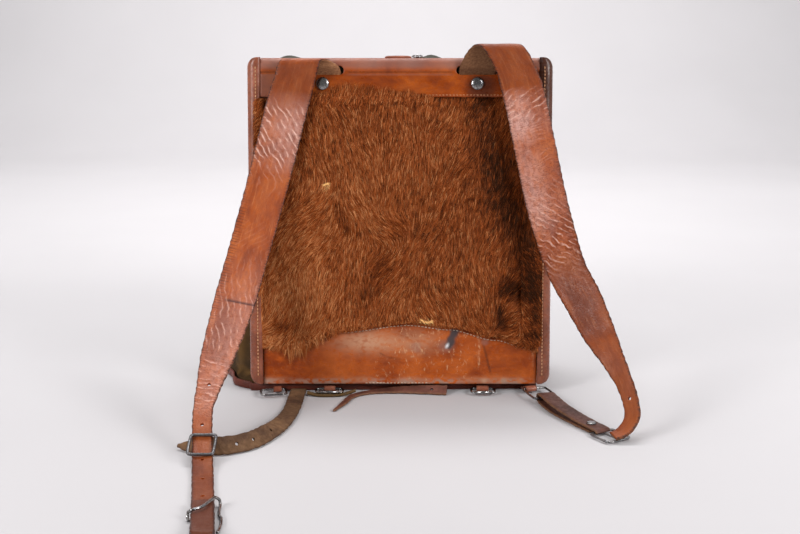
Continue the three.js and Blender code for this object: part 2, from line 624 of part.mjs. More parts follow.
// Binding: its section is drawn in at both ends, so that the panel's corners are round.
function binding(side) {
  return loft(BINDING_STEPS.map((v) => {
    const end = Math.min(v - BINDING_STEPS[0], PANEL_LENGTH - v);
    const share = THREE.MathUtils.clamp(1 - end / BINDING_ROUND, 0, 1);
    const drawn = 1 - 0.55 * (1 - Math.sqrt(1 - share * share));
    return BINDING_SECTION.map((p) => {
      const u = BINDING_SECTION[0].u + (p.u - BINDING_SECTION[0].u) * drawn;
      return onPanel(side * u, v, p.w * (0.7 + 0.3 * drawn));
    });
  }));
}

// Bag wall: plan of the bag at any height, from the left front edge round the far side to the right.
function bagPlan(z) {
  const at = (column) => fromTable(BAG_SECTIONS, 'z', z, column);
  const face = PANEL_FOOT_Y + (z - PANEL_FOOT_Z) * Math.tan(PANEL_LEAN);
  const near = face - at('back');
  const far = at('far');
  const [left, right] = [at('left'), at('right')];
  const deep = (share) => THREE.MathUtils.lerp(near, far, share);
  const rows = [
    [-at('front') - 0.9 * at('flare'), near - 0.2 * at('flare')],
    [-at('front') - 0.1 - 2 * at('flare'), near + BAG_FLANGE],
    [THREE.MathUtils.lerp(-at('front'), left, 0.8), deep(0.36)], [left, deep(0.62)],
    [left * 0.93, deep(0.93)], [left * 0.62, deep(1.0)], [0, deep(1.03)], [right * 0.62, deep(1.0)],
    [right * 0.93, deep(0.93)], [right, deep(0.6)],
    [THREE.MathUtils.lerp(at('front'), right, 0.75), deep(0.36)],
    [at('front') + 0.1, near + BAG_FLANGE], [at('front'), near],
  ];
  return new THREE.CatmullRomCurve3(rows.map(([x, y]) => new THREE.Vector3(x, y, z)), false, 'centripetal');
}

function bagPoint(s, z, offset) {
  const plan = bagPlan(z);
  const run = plan.getTangent(s);
  const out = new THREE.Vector3(-run.y, run.x, 0).normalize();
  let fold = 0;
  for (const f of BAG_FOLDS) {
    const begins = THREE.MathUtils.smoothstep(z, f.low, f.low + 40);
    const ends = 1 - THREE.MathUtils.smoothstep(z, f.high - 60, f.high);
    fold += f.depth * bell((s - f.s) / f.width, 1) * begins * ends;
  }
  return plan.getPoint(s).addScaledVector(out, offset + fold);
}

function bagWall() {
  const last = BAG_LEVELS.length;
  const height = (s, t) => BAG_LEVELS[Math.round(t * last)] ?? fromTable(BAG_MOUTH, 's', s, 'height');
  const point = (offset) => (s, t) => bagPoint(s, height(s, t), offset);
  return wall(BAG_ROUND_STEPS, last, point(CANVAS / 2), point(-CANVAS / 2));
}

function baseFront(x) {
  return THREE.MathUtils.mapLinear(x, -BASE_FRONT.half, BASE_FRONT.half, BASE_FRONT.left, BASE_FRONT.right);
}

// Base: a tray whose edge stands up outside the foot of the wall.
function bagBase() {
  const loop = (offset, z, back) => {
    const ring = [];
    for (let k = 0; k <= BASE_STEPS; k += 1) {
      const p = bagPoint(k / BASE_STEPS, 3, CANVAS / 2 + GAP + offset);
      const end = k === 0 || k === BASE_STEPS;
      const front = baseFront(p.x) + back;
      ring.push(new THREE.Vector3(p.x, end ? front : Math.max(p.y, front), z));
    }
    return ring;
  };
  return loft([
    loop(LEATHER - 1.5, 0, 1.5), loop(LEATHER, 1.6, 0), loop(LEATHER, BASE_EDGE - 0.8, 0),
    loop(LEATHER - 0.9, BASE_EDGE, 0.9), loop(0, BASE_EDGE, LEATHER), loop(0, LEATHER, LEATHER),
  ]);
}

// Lid: its run in the upright plane, with bumps along the crest where the load lifts it.
function lidFlap() {
  const line = new THREE.CatmullRomCurve3(
    LID_RUN.map(({ y, z }) => new THREE.Vector3(0, y, z)), false, 'centripetal');
  const point = (offset) => (a, b) => {
    const x = THREE.MathUtils.lerp(-LID_HALF, LID_HALF, a);
    const p = line.getPoint(b);
    const run = line.getTangent(b);
    let lift = 0;
    for (const m of LID_BUMPS) lift += m.rise * bell(x - m.x, m.width) * bell(p.y - LID_CREST_Y, 24);
    const droop = 5 * THREE.MathUtils.smoothstep(Math.abs(x), LID_HALF - 40, LID_HALF)
      * THREE.MathUtils.smoothstep(p.y, 16, 34);
    return new THREE.Vector3(x, p.y - run.z * offset, p.z + run.y * offset + lift - droop);
  };
  return wall(LID_COLUMNS, LID_ROWS, point(CANVAS / 2), point(-CANVAS / 2));
}

function lidTab() {
  const top = PANEL_LENGTH + GAP;
  const near = BAND_FACE + LEATHER - BAND_ROLL - 2;
  const point = (a, b, thick) => {
    const u = TAB.u + (a - 0.5) * TAB.width;
    return onPanel(u, top + thick, near - b * TAB.length);
  };
  const domed = (a, b) => point(a, b, TAB.thick * (1 - 0.25 * (2 * a - 1) ** 4));
  return wall(4, 3, domed, (a, b) => point(a, b, 0));
}

function lidLoop() {
  const centre = onPanel(LOOP.u, PANEL_LENGTH + GAP + LOOP.wire + 1.2, BAND_FACE + LEATHER - BAND_ROLL - 7);
  const points = [...Array(10).keys()].map((k) => {
    const angle = (k / 10) * Math.PI * 2;
    return new THREE.Vector3(LOOP.radius * Math.cos(angle), LOOP.radius * Math.sin(angle), 0);
  });
  return placed(wire(points, LOOP.wire, 14, true), { x: centre.x, y: centre.y, z: centre.z, tilt: 8 });
}

function rivet(side) {
  const top = BAND_FACE + LEATHER;
  const seat = top + GAP - 3;
  const rows = [
    { r: 0, h: -2.9 }, { r: RIVET_SHANK, h: -2.9 }, { r: RIVET_SHANK, h: seat }, { r: RIVET_HEAD, h: seat },
    { r: RIVET_HEAD, h: top - 1.6 }, { r: RIVET_HEAD * 0.82, h: top + 0.2 },
    { r: RIVET_HEAD * 0.5, h: top + 1.4 }, { r: 0, h: top + 2 },
  ];
  const turned = new THREE.LatheGeometry(rows.map(({ r, h }) => new THREE.Vector2(r, h)), 16);
  const spot = onPanel(side * SLOT_MIDDLE, RIVET_HEIGHT, 3);
  turned.rotateX(Math.PI - PANEL_LEAN);
  return turned.translate(spot.x, spot.y, spot.z);
}

add('fur_panel', furPanel(), FUR_COLOUR, 0, 0.8);
add('top_band', topBand(), BAND_COLOUR);
add('bottom_band', bottomBand(), BAND_COLOUR);
add('left_binding', binding(-1), BINDING_COLOUR, 0, 0.45);
add('right_binding', binding(1), BINDING_COLOUR, 0, 0.45);
add('bag_wall', bagWall(), CANVAS_COLOUR, 0, 0.9);
add('bag_base', bagBase(), DARK_LEATHER);
add('lid_flap', lidFlap(), LID_COLOUR, 0, 0.9);
add('lid_tab', lidTab(), BINDING_COLOUR);
add('lid_loop', lidLoop(), STEEL_COLOUR, 0.9, 0.4);

// Shoulder straps: the tail is riveted behind the band, so the rivet's shank passes through it.
const leftStations = [...rootStations(LEFT_ROOT), ...groundStations(LEFT_HANG)];
const rightStations = [...rootStations(RIGHT_ROOT), ...groundStations(RIGHT_HANG)];
function shoulderStrap(stations, holes, side) {
  const hole = new THREE.CylinderGeometry(RIVET_SHANK + GAP, RIVET_SHANK + GAP, 5, 10).rotateX(-PANEL_LEAN);
  const spot = onPanel(side * SLOT_MIDDLE, RIVET_HEIGHT, 1.5);
  return cut(strap(stations, STRAP_LEATHER, 2, holes), [hole.translate(spot.x, spot.y, spot.z)]);
}
add('left_shoulder_strap', shoulderStrap(leftStations, LEFT_HOLES, -1), STRAP_COLOUR);
add('right_shoulder_strap', shoulderStrap(rightStations, RIGHT_HOLES, 1), STRAP_COLOUR);
add('left_rivet', rivet(-1), STEEL_COLOUR, 0.9, 0.35);
add('right_rivet', rivet(1), STEEL_COLOUR, 0.9, 0.35);

// Left strap buckle: a wire frame laid level over the strap where it comes down to the ground.
const buckleSeat = strapFrame(leftStations, LEFT_BUCKLE.station);
const seatSide = new THREE.Vector3(1, 0, 0);
const seatBack = new THREE.Vector3(0, -buckleSeat.run.y, -buckleSeat.run.z).normalize();
const seatFacing = new THREE.Vector3().crossVectors(seatSide, seatBack);
const seatBasis = new THREE.Matrix4().makeBasis(seatSide, seatBack, seatFacing);
const seatLift = STRAP_LEATHER / 2 + GAP + LEFT_BUCKLE.wire + 0.9;
const seatPlace = buckleSeat.place.clone().addScaledVector(seatFacing, seatLift);
const leftFrame = wire(frameLine(LEFT_BUCKLE.half, LEFT_BUCKLE.length, 3), LEFT_BUCKLE.wire, 20, true);
add('left_strap_buckle', leftFrame.applyMatrix4(seatBasis.setPosition(seatPlace)), STEEL_COLOUR, 0.9, 0.4);

// Hook: wire bent over the doubled end of the left strap.
const hookPoints = HOOK_LINE.map(({ x, y, z }) => new THREE.Vector3(x, y, z));
add('left_hook', wire(hookPoints, WIRE, 32, false), STEEL_COLOUR, 0.9, 0.4);

add('left_lower_strap', strap(groundStations(LEFT_LOWER), LEATHER, 3, LEFT_LOWER_HOLES), DARK_LEATHER);
add('base_strap', strap(groundStations(BASE_STRAP), LEATHER, 3, BASE_STRAP_HOLES), DARK_LEATHER);

// Left wire loop and its leather
const leftLoop = placed(wire(frameLine(LEFT_LOOP.half, LEFT_LOOP.length, 4), WIRE, 20, true), LEFT_LOOP);
add('left_wire_loop', leftLoop, STEEL_COLOUR, 0.9, 0.4);
const loopOut = THREE.MathUtils.degToRad(LEFT_LOOP.turn);
const loopAxis = new THREE.Vector3(-Math.sin(loopOut), -Math.cos(loopOut), 0);
const loopBar = new THREE.Vector3(LEFT_LOOP.x, LEFT_LOOP.y, 0);
loopBar.addScaledVector(loopAxis, -LEFT_LOOP.length / 2);
loopBar.addScaledVector(new THREE.Vector3(-loopAxis.y, loopAxis.x, 0), LEFT_LOOP.chapeAt);
const loopReach = (baseFront(loopBar.x) - 3 * GAP - loopBar.y) / -loopAxis.y;
const loopRoot = loopBar.clone().addScaledVector(loopAxis, -loopReach);
add('left_loop_chape', foldedTab({
  rootX: loopRoot.x, rootY: loopRoot.y, barX: loopBar.x, barY: loopBar.y, barZ: LEFT_LOOP.z,
  width: LEFT_LOOP.chape, leather: TAB_LEATHER, wireRadius: WIRE,
}), BINDING_COLOUR);

// Two buckles hung from the base
for (const b of BASE_BUCKLES) {
  const frame = placed(wire(frameLine(b.half, b.length, 3), WIRE, 20, true), b);
  add(`${b.side}_base_buckle`, frame, STEEL_COLOUR, 0.9, 0.4);
  add(`${b.side}_base_chape`, foldedTab({
    rootX: b.x, rootY: baseFront(b.x) - 2 * GAP, barX: b.x, barY: b.y + b.length / 2, barZ: b.z,
    width: b.chape, leather: TAB_LEATHER, wireRadius: WIRE,
  }), BINDING_COLOUR);
}

// Canvas strip that sags onto the ground below the panel
function canvasTab() {
  const line = new THREE.CatmullRomCurve3(CANVAS_TAB.map(({ x, y, z }) => new THREE.Vector3(x, y, z)));
  const point = (offset) => (a, b) => {
    const p = line.getPoint(a);
    return new THREE.Vector3(p.x, p.y + 7 * b, p.z + 0.6 * b + offset);
  };
  const strip = wall(14, 2, point(0.6), point(-0.6));
  const spot = line.getPoint(EYELET.share);
  const eyelet = new THREE.CylinderGeometry(EYELET.radius, EYELET.radius, 12, 10).rotateX(Math.PI / 2);
  return cut(strip, [eyelet.translate(spot.x, spot.y + 3.4, spot.z)]);
}
add('canvas_tab', canvasTab(), CANVAS_COLOUR, 0, 0.9);

// Ring on the right, its leather, and the doubled strap that loops through it to the buckle
const ringOut = THREE.MathUtils.degToRad(RIGHT_RING.turn);
const ringAxis = new THREE.Vector3(-Math.sin(ringOut), -Math.cos(ringOut), 0);
const ring = wire(frameLine(RIGHT_RING.half, RIGHT_RING.length, 4), WIRE, 20, true);
add('right_ring', placed(ring, RIGHT_RING), STEEL_COLOUR, 0.9, 0.4);
const ringBar = new THREE.Vector3(RIGHT_RING.x, RIGHT_RING.y, 0);
ringBar.addScaledVector(ringAxis, -RIGHT_RING.length / 2);
ringBar.addScaledVector(new THREE.Vector3(-ringAxis.y, ringAxis.x, 0), RING_CHAPE.offset);
const ringRoot = ringBar.clone().addScaledVector(ringAxis, -RING_CHAPE.length);
add('right_ring_chape', foldedTab({
  rootX: ringRoot.x, rootY: ringRoot.y, barX: ringBar.x, barY: ringBar.y, barZ: RIGHT_RING.z,
  width: RING_CHAPE.width, leather: TAB_LEATHER, wireRadius: WIRE,
}), BINDING_COLOUR);

// The strap starts over the buckle's bar, runs back to an open loop round the ring, and returns beneath.
function doubledStrap() {
  const leather = THIN_LEATHER;
  const reach = WIRE + GAP + leather / 2;
  const along = new THREE.CatmullRomCurve3(LOWER_LINE.map(({ x, y }) => new THREE.Vector3(x, y, 0)));
  const at = (share) => ({ spot: along.getPoint(share), run: along.getTangent(share) });
  const station = (share, ahead, z) => {
    const { spot, run } = at(share);
    const turn = THREE.MathUtils.radToDeg(Math.atan2(run.y, run.x)) + 90;
    const place = new THREE.Vector3(spot.x + run.x * ahead, spot.y + run.y * ahead, z);
    return { place, width: LOWER_WIDTH, turn };
  };
  const low = leather / 2 + GAP;
  const barTop = RIGHT_BUCKLE.z + reach;
  const high = barTop + 0.4;
  const loopTop = low + 2 * LOWER_OPEN;
  const line = [
    station(1, reach * 1.25, RIGHT_BUCKLE.z), station(1, reach * 0.9, barTop - 0.8),
    station(1, -0.4, barTop),
    station(0.86, 0, high), station(0.62, 0, high + 1.2), station(0.36, 0, loopTop - 1.6),
    station(0.12, 0, loopTop), station(0, -3, loopTop - 1.2),
    station(0, -3 - LOWER_OPEN * 0.7, low + LOWER_OPEN),
    station(0, -3, low + 1), station(0.12, 0, low), station(0.36, 0, low), station(0.62, 0, low),
    station(0.93, 0, low),
  ];
  const { spot } = at(LOOP_RIVET.share);
  const bore = LOOP_RIVET.shank + GAP;
  const hole = new THREE.CylinderGeometry(bore, bore, 30, 10).rotateX(Math.PI / 2);
  const nose = station(1, NOTCH.length / 2, 0).place;
  const notch = placed(new THREE.BoxGeometry(NOTCH.width, NOTCH.length, 20),
    { x: nose.x, y: nose.y, z: 0, turn: RIGHT_BUCKLE.turn });
  const geometry = cut(strap(line, leather, 2), [hole.translate(spot.x, spot.y, 0), notch]);
  return { geometry, spot, top: high + leather / 2 };
}
const lower = doubledStrap();
add('right_lower_strap', lower.geometry, DARK_LEATHER);
const headSeat = lower.top + GAP;
const rivetRows = [
  { r: 0, h: GAP + 0.2 }, { r: LOOP_RIVET.shank, h: GAP + 0.2 }, { r: LOOP_RIVET.shank, h: headSeat },
  { r: LOOP_RIVET.head, h: headSeat }, { r: LOOP_RIVET.head * 0.9, h: headSeat + LOOP_RIVET.high },
  { r: 0, h: headSeat + LOOP_RIVET.high * 1.15 },
];
const loopRivet = new THREE.LatheGeometry(rivetRows.map(({ r, h }) => new THREE.Vector2(r, h)), 14);
loopRivet.rotateX(Math.PI / 2).translate(lower.spot.x, lower.spot.y, 0);
add('right_loop_rivet', loopRivet, STEEL_COLOUR, 0.9, 0.4);

// Right strap buckle: a wire frame with its prong lying from bar to bar
const prong = new THREE.CylinderGeometry(PRONG, PRONG, RIGHT_BUCKLE.length, WIRE_SIDES);
const rightFrame = wire(frameLine(RIGHT_BUCKLE.half, RIGHT_BUCKLE.length, 4), WIRE, 20, true);
const rightBuckle = fromSolid(toSolid(rightFrame).add(toSolid(prong)));
add('right_strap_buckle', placed(rightBuckle, RIGHT_BUCKLE), STEEL_COLOUR, 0.9, 0.4);

export default model;
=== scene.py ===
# %% [markdown]
# # A rucksack with a fur back panel
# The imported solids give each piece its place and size. This lesson dresses them: hair for the panel, grain
# and wrinkles for the leather, weave for the canvas, dull steel for the buckles. Each new piece is worked
# out with numpy as a surface over a grid, or as a profile carried along a line, in the solids' own frame.

import bpy
import numpy as np
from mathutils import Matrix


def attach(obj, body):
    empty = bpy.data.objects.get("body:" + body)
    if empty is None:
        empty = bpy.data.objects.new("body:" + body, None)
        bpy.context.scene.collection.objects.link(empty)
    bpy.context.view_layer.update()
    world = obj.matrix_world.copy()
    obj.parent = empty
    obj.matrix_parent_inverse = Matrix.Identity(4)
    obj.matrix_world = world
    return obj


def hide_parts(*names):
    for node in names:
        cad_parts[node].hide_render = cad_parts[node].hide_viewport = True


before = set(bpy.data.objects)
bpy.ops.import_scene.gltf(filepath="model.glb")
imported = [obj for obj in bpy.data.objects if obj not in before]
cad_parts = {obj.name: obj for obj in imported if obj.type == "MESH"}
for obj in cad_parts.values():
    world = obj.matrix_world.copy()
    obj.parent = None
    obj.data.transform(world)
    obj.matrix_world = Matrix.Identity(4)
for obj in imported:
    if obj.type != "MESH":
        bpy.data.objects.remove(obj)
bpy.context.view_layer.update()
print("nodes in the frame:", len(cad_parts))

# %% [markdown]
# The camera comes first, because every choice after it is judged through it. A 50 mm lens on a 36 mm
# sensor, a little over a metre in front of the panel and tilted twelve degrees down, gives the photograph's
# view.

# %% Camera
CAMERA_PLACE = (0.0, -1.273, 0.404)
CAMERA_TILT = np.radians(12.04)
camera = bpy.data.objects.new("camera", bpy.data.cameras.new("camera"))
camera.location = CAMERA_PLACE
camera.rotation_euler = (np.pi / 2 - CAMERA_TILT, 0, 0)
camera.data.lens = 50
camera.data.sensor_width = 36
bpy.context.scene.collection.objects.link(camera)
bpy.context.scene.camera = camera
print("camera at", CAMERA_PLACE)

# %% [markdown]
# The panel leans back, so it gets coordinates of its own: u to the right, v up the slope, w out towards the
# wearer. Sizes below are millimetres, the unit in which leather and buckles are measured, and they become
# metres only when a mesh is made.

# %% Panel coordinates
MM = 0.001
LEAN = np.radians(7.5)
FOOT = np.array([0.0, -62.0, 6.0])
RIGHT = np.array([1.0, 0.0, 0.0])
RISE = np.array([0.0, np.sin(LEAN), np.cos(LEAN)])
OUT = np.array([0.0, -np.cos(LEAN), np.sin(LEAN)])


def on_panel(u, v, w):
    """Points in millimetres: the panel's foot, plus u to the right, v up the slope and w out of the face."""
    u, v, w = np.broadcast_arrays(*(np.asarray(a, float) for a in (u, v, w)))
    return FOOT + u[..., None] * RIGHT + v[..., None] * RISE + w[..., None] * OUT


def smooth(x, low, high):
    """Zero below low, one above high, and an S-shaped rise 3t^2 - 2t^3 between."""
    t = np.clip((np.asarray(x, float) - low) / (high - low), 0, 1)
    return t * t * (3 - 2 * t)


def bell(distance):
    """A hill of height 1 at zero that has nearly died away at distance 1.5."""
    return np.exp(-1.5 * np.asarray(distance, float) ** 2)


def eased(x, keys, values):
    """A table's values at x, with an S-shaped step from each key to the next."""
    keys, values = np.asarray(keys, float), np.asarray(values, float)
    x = np.clip(x, keys[0], keys[-1])
    i = np.clip(np.searchsorted(keys, x, side="right") - 1, 0, len(keys) - 2)
    return values[i] + (values[i + 1] - values[i]) * smooth((x - keys[i]) / (keys[i + 1] - keys[i]), 0, 1)


print("panel leans", round(float(np.degrees(LEAN)), 1), "degrees")

# %% [markdown]
# Every mesh goes through one function. It takes points and lists of faces as whole arrays and hands them to
# Blender with foreach_set, which is far quicker than adding vertices one by one. It also turns a closed skin
# so that it faces out, stores the UV map and any painted marks, and hides the imported parts that the piece
# stands in for. Most pieces are tubes, a row of like rings, or walls, a front and a back joined round their
# rims.

# %% Meshes from arrays
made_triangles = {}


def grid_faces(rows, columns, ring=False):
    """Quads of a grid numbered row by row. A ring also joins each row's last point to its first."""
    i = np.arange(rows - 1)[:, None] * columns
    j = np.arange(columns if ring else columns - 1)[None, :]
    k = (j + 1) % columns
    return np.stack([i + j, i + k, i + columns + k, i + columns + j], -1).reshape(-1, 4)


def tube_faces(rows, columns):
    """Faces of a row of like rings, with one many-sided face over each end."""
    first = np.arange(columns)[None, ::-1]
    last = (rows - 1) * columns + np.arange(columns)[None, :]
    return [grid_faces(rows, columns, ring=True), first, last]


def hoop_faces(rows, columns):
    """Faces of a row of like rings whose last ring joins the first."""
    faces = grid_faces(rows + 1, columns, ring=True)
    return [faces % (rows * columns)]


def wall_faces(rows, columns):
    """Faces of rings that run up a front of that many columns and down a back, with both ends filled."""
    ring = 2 * columns
    j = np.arange(columns - 1)
    rung = np.stack([j, j + 1, ring - 2 - j, ring - 1 - j], -1)
    return [grid_faces(rows, ring, ring=True), rung[:, ::-1], (rows - 1) * ring + rung]


def two_sided(front, back):
    """Rings of a wall: each row's front points, then its back points in the other direction."""
    return np.concatenate([front, back[:, ::-1]], 1)


def outward(points, faces):
    """Faces turned over where the volume inside, a sum of corner products over triangles, is negative."""
    points = np.reshape(points, (-1, 3))
    total = 0.0
    for f in faces:
        for k in range(1, f.shape[1] - 1):
            a, b, c = points[f[:, 0]], points[f[:, k]], points[f[:, k + 1]]
            total += np.einsum("ij,ij->", a, np.cross(b, c))
    return [f[:, ::-1] for f in faces] if total < 0 else faces


def make_piece(name, points, faces, finish, slot, nodes=(), uv=None, marks=None, uv_name="UVMap"):
    """A mesh object from points in millimetres and lists of faces, riding on the body, in place of nodes."""
    points = np.asarray(points, float).reshape(-1, 3)
    faces = outward(points, faces)
    corners = np.concatenate([f.ravel() for f in faces]).astype(np.int32)
    sizes = np.concatenate([np.full(len(f), f.shape[1]) for f in faces])
    mesh = bpy.data.meshes.new(name)
    mesh.vertices.add(len(points))
    mesh.vertices.foreach_set("co", (points * MM).astype(np.float32).ravel())
    mesh.loops.add(len(corners))
    mesh.loops.foreach_set("vertex_index", corners)
    mesh.polygons.add(len(sizes))
    mesh.polygons.foreach_set("loop_start", np.concatenate([[0], np.cumsum(sizes)[:-1]]).astype(np.int32))
    mesh.polygons.foreach_set("use_smooth", np.ones(len(sizes), bool))
    if uv is not None:
        flat = np.asarray(uv, np.float32).reshape(-1, 2)
        mesh.uv_layers.new(name=uv_name).data.foreach_set("uv", flat[corners].ravel())
    for key, values in (marks or {}).items():
        layer = mesh.attributes.new(key, "FLOAT", "POINT")
        layer.data.foreach_set("value", np.asarray(values, np.float32).ravel())
    mesh.update(calc_edges=True)
    mesh.materials.append(finish)
    piece = bpy.data.objects.new(name, mesh)
    bpy.context.scene.collection.objects.link(piece)
    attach(piece, "root")
    if nodes:
        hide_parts(*nodes)
    made_triangles[name] = int((sizes - 2).sum())
    return piece


def tube_piece(name, rings, finish, slot, nodes=(), **painted):
    """A piece from a row of like rings, closed at both ends."""
    return make_piece(name, rings, tube_faces(*rings.shape[:2]), finish, slot, nodes, **painted)


def wall_piece(name, front, back, finish, slot, node, uv=None, marks=None):
    """A piece from the points of its two sides. The edge mark is on both sides, the others on the front."""
    painted = {key: two_sided(value, value * (key == "edge")) for key, value in (marks or {}).items()}
    return make_piece(name, two_sided(front, back), wall_faces(*front.shape[:2]), finish, slot, [node],
                      uv=None if uv is None else two_sided(uv, uv), marks=painted)


print("mesh makers ready")

# %% [markdown]
# Straps, wires and folded tabs are all lines with something carried along them. The line is a Catmull-Rom
# curve, which passes through every station it is given. Its centripetal form doesn't loop or overshoot
# where stations crowd together, as they do where a strap folds. A wire's line uses plain tangents instead.

# %% Lines through stations
def through(stations, at, closed=False, tension=None):
    """Places and unit runs at fractional station numbers on a cubic through the stations.
    With no tension the tangents are centripetal: spans are weighed by the square root of their length."""
    p = np.asarray(stations, float)
    count = len(p)
    at = np.asarray(at, float)
    i = np.floor(at).astype(int) if closed else np.clip(np.floor(at).astype(int), 0, count - 2)
    t = (at - i)[:, None]
    if closed:
        p0, p1, p2, p3 = (p[(i + k) % count] for k in (-1, 0, 1, 2))
    else:
        ends = np.vstack([2 * p[0] - p[1], p, 2 * p[-1] - p[-2]])
        p0, p1, p2, p3 = (ends[i + k] for k in (0, 1, 2, 3))
    if tension is None:
        d0, d1, d2 = (np.sqrt(np.linalg.norm(b - a, axis=1, keepdims=True))
                      for a, b in ((p0, p1), (p1, p2), (p2, p3)))
        m1 = ((p1 - p0) / d0 - (p2 - p0) / (d0 + d1) + (p2 - p1) / d1) * d1
        m2 = ((p2 - p1) / d1 - (p3 - p1) / (d1 + d2) + (p3 - p2) / d2) * d1
    else:
        m1, m2 = tension * (p2 - p0), tension * (p3 - p1)
    c2 = 3 * (p2 - p1) - 2 * m1 - m2
    c3 = 2 * (p1 - p2) + m1 + m2
    run = m1 + 2 * c2 * t + 3 * c3 * t * t
    return p1 + m1 * t + c2 * t * t + c3 * t ** 3, run / np.linalg.norm(run, axis=1, keepdims=True)


def row_length(points):
    """Distance along a row of points from its first point."""
    return np.concatenate([[0], np.cumsum(np.linalg.norm(np.diff(points, axis=0), axis=1))])


def unit(vectors):
    """Vectors divided by their own length."""
    return vectors / np.linalg.norm(vectors, axis=-1, keepdims=True)


BAR_SIDES = 12


def around(sides):
    """Angles of the corners of a many-sided ring."""
    return np.linspace(0, 2 * np.pi, sides, endpoint=False)


def bar(line, runs, radius):
    """Rings of a round bar: a circle square to the run, its first axis kept level."""
    side = unit(np.cross(runs, (0, 0, 1)))
    top = np.cross(side, runs)
    angle = around(BAR_SIDES)[None, :, None]
    circle = np.cos(angle) * side[:, None] + np.sin(angle) * top[:, None]
    return line[:, None] + radius * circle


print("line makers ready")

# %% [markdown]
# Finishes are shader nodes. A small helper makes a node, sets its numbers and links its inputs in one call,
# and a colour helper turns picker values from 0 to 255 into the linear numbers that shaders work in. Wear is
# laid on in layers, each a colour with a share from 0 to 1, from the ground colour up.

# %% Node helpers
def tone(red, green, blue):
    """Picker values from 0 to 255 as linear light, by the standard display curve."""
    c = np.array([red, green, blue]) / 255
    linear = np.where(c <= 0.04045, c / 12.92, ((c + 0.055) / 1.055) ** 2.4)
    return (*(float(x) for x in linear), 1.0)


def feed(tree, node, values):
    """The node, each named input given its number, or a link where the value is another node's output."""
    for key, value in values.items():
        if isinstance(value, bpy.types.NodeSocket):
            tree.links.new(value, node.inputs[key])
        else:
            node.inputs[key].default_value = value
    return node


def put(tree, kind, values=None, **settings):
    """A new node with its settings and its inputs."""
    made = tree.nodes.new("ShaderNode" + kind)
    for key, value in settings.items():
        setattr(made, key, value)
    return feed(tree, made, values or {})


def mixed(tree, share, first, second, blend="MIX"):
    """A colour between two colours, by a share from 0 to 1."""
    return put(tree, "Mix", {0: share, 6: first, 7: second}, data_type="RGBA", blend_type=blend).outputs[2]


def layered(tree, colour, layers):
    """A ground colour with other colours laid over it in turn, each by its share."""
    for share, over in layers:
        colour = mixed(tree, share, colour, over)
    return colour


def dimmed(colour, share):
    """A colour with its red, green and blue multiplied by a share."""
    return (*(share * part for part in colour[:3]), 1.0)


def math(tree, operation, first, second=0.0, third=0.0):
    """One arithmetic step on up to three values."""
    return put(tree, "Math", {0: first, 1: second, 2: third}, operation=operation).outputs[0]


def times(tree, first, second):
    """The product of two values."""
    return math(tree, "MULTIPLY", first, second)


def noise(tree, vector, scale, detail, rough=0.5, twist=0.0):
    """A cloudy value between 0 and 1."""
    values = {"Vector": vector, "Scale": scale, "Detail": detail, "Roughness": rough, "Distortion": twist}
    return put(tree, "TexNoise", values).outputs["Fac"]


def ramp(tree, share, stops):
    """A colour ramp with (place, colour) stops."""
    made = put(tree, "ValToRGB", {"Fac": share})
    while len(made.color_ramp.elements) < len(stops):
        made.color_ramp.elements.new(0.5)
    for element, (place, colour) in zip(made.color_ramp.elements, stops):
        element.position = place
        element.color = colour
    return made.outputs[0]


def between(tree, value, low, high):
    """A mask that rises from 0 at low to 1 at high with an S-shaped step."""
    made = put(tree, "MapRange", {"Value": value, "From Min": low, "From Max": high},
               interpolation_type="SMOOTHSTEP")
    return made.outputs[0]


def mark(tree, name):
    """The value painted on a mesh under that name."""
    return put(tree, "Attribute", attribute_name=name).outputs["Fac"]


def scaled(tree, vector, x, y, z):
    """A vector stretched along its axes."""
    return put(tree, "Mapping", {"Vector": vector, "Scale": (x, y, z)}).outputs[0]


def object_place(tree):
    """The place on the piece, in metres."""
    return put(tree, "TexCoord").outputs["Object"]


def new_finish(name):
    """An empty material with its shader, and the tree to build it in."""
    finish = bpy.data.materials.new(name)
    finish.use_nodes = True
    tree = finish.node_tree
    tree.nodes.clear()
    shader = put(tree, "BsdfPrincipled")
    put(tree, "OutputMaterial", {"Surface": shader.outputs[0]})
    return finish, tree, shader


def dress(tree, shader, colour, rough, shine=0.5, bump=None):
    """Gives a shader its colour, roughness and shine, and a bump of a height, a strength and a depth."""
    feed(tree, shader, {"Base Color": colour, "Roughness": rough, "Specular IOR Level": shine})
    if bump:
        height, strength, depth = bump
        made = put(tree, "Bump", {"Height": height, "Strength": strength, "Distance": depth})
        tree.links.new(made.outputs[0], shader.inputs["Normal"])


def new_group(name, inputs, outputs):
    """A node group with named value sockets; an input called Vector takes coordinates."""
    group = bpy.data.node_groups.new(name, "ShaderNodeTree")
    for key in inputs:
        kind = "NodeSocketVector" if key == "Vector" else "NodeSocketFloat"
        group.interface.new_socket(key, in_out="INPUT", socket_type=kind)
    for key in outputs:
        group.interface.new_socket(key, in_out="OUTPUT", socket_type="NodeSocketFloat")
    return group, group.nodes.new("NodeGroupInput").outputs, group.nodes.new("NodeGroupOutput").inputs


def use(tree, group, values):
    """A group placed in a material with its own values."""
    return put(tree, "Group", values, node_tree=group).outputs


print("node helpers ready")

# %% [markdown]
# Three effects are shared. Blotches are two sizes of cloudy noise: old leather, canvas and steel are never
# one even colour. Pores are the cells of tanned skin, broken up by noise. Weave is two crossed sines, one
# thread over and one under. Each is a node group, so that one recipe serves many finishes.

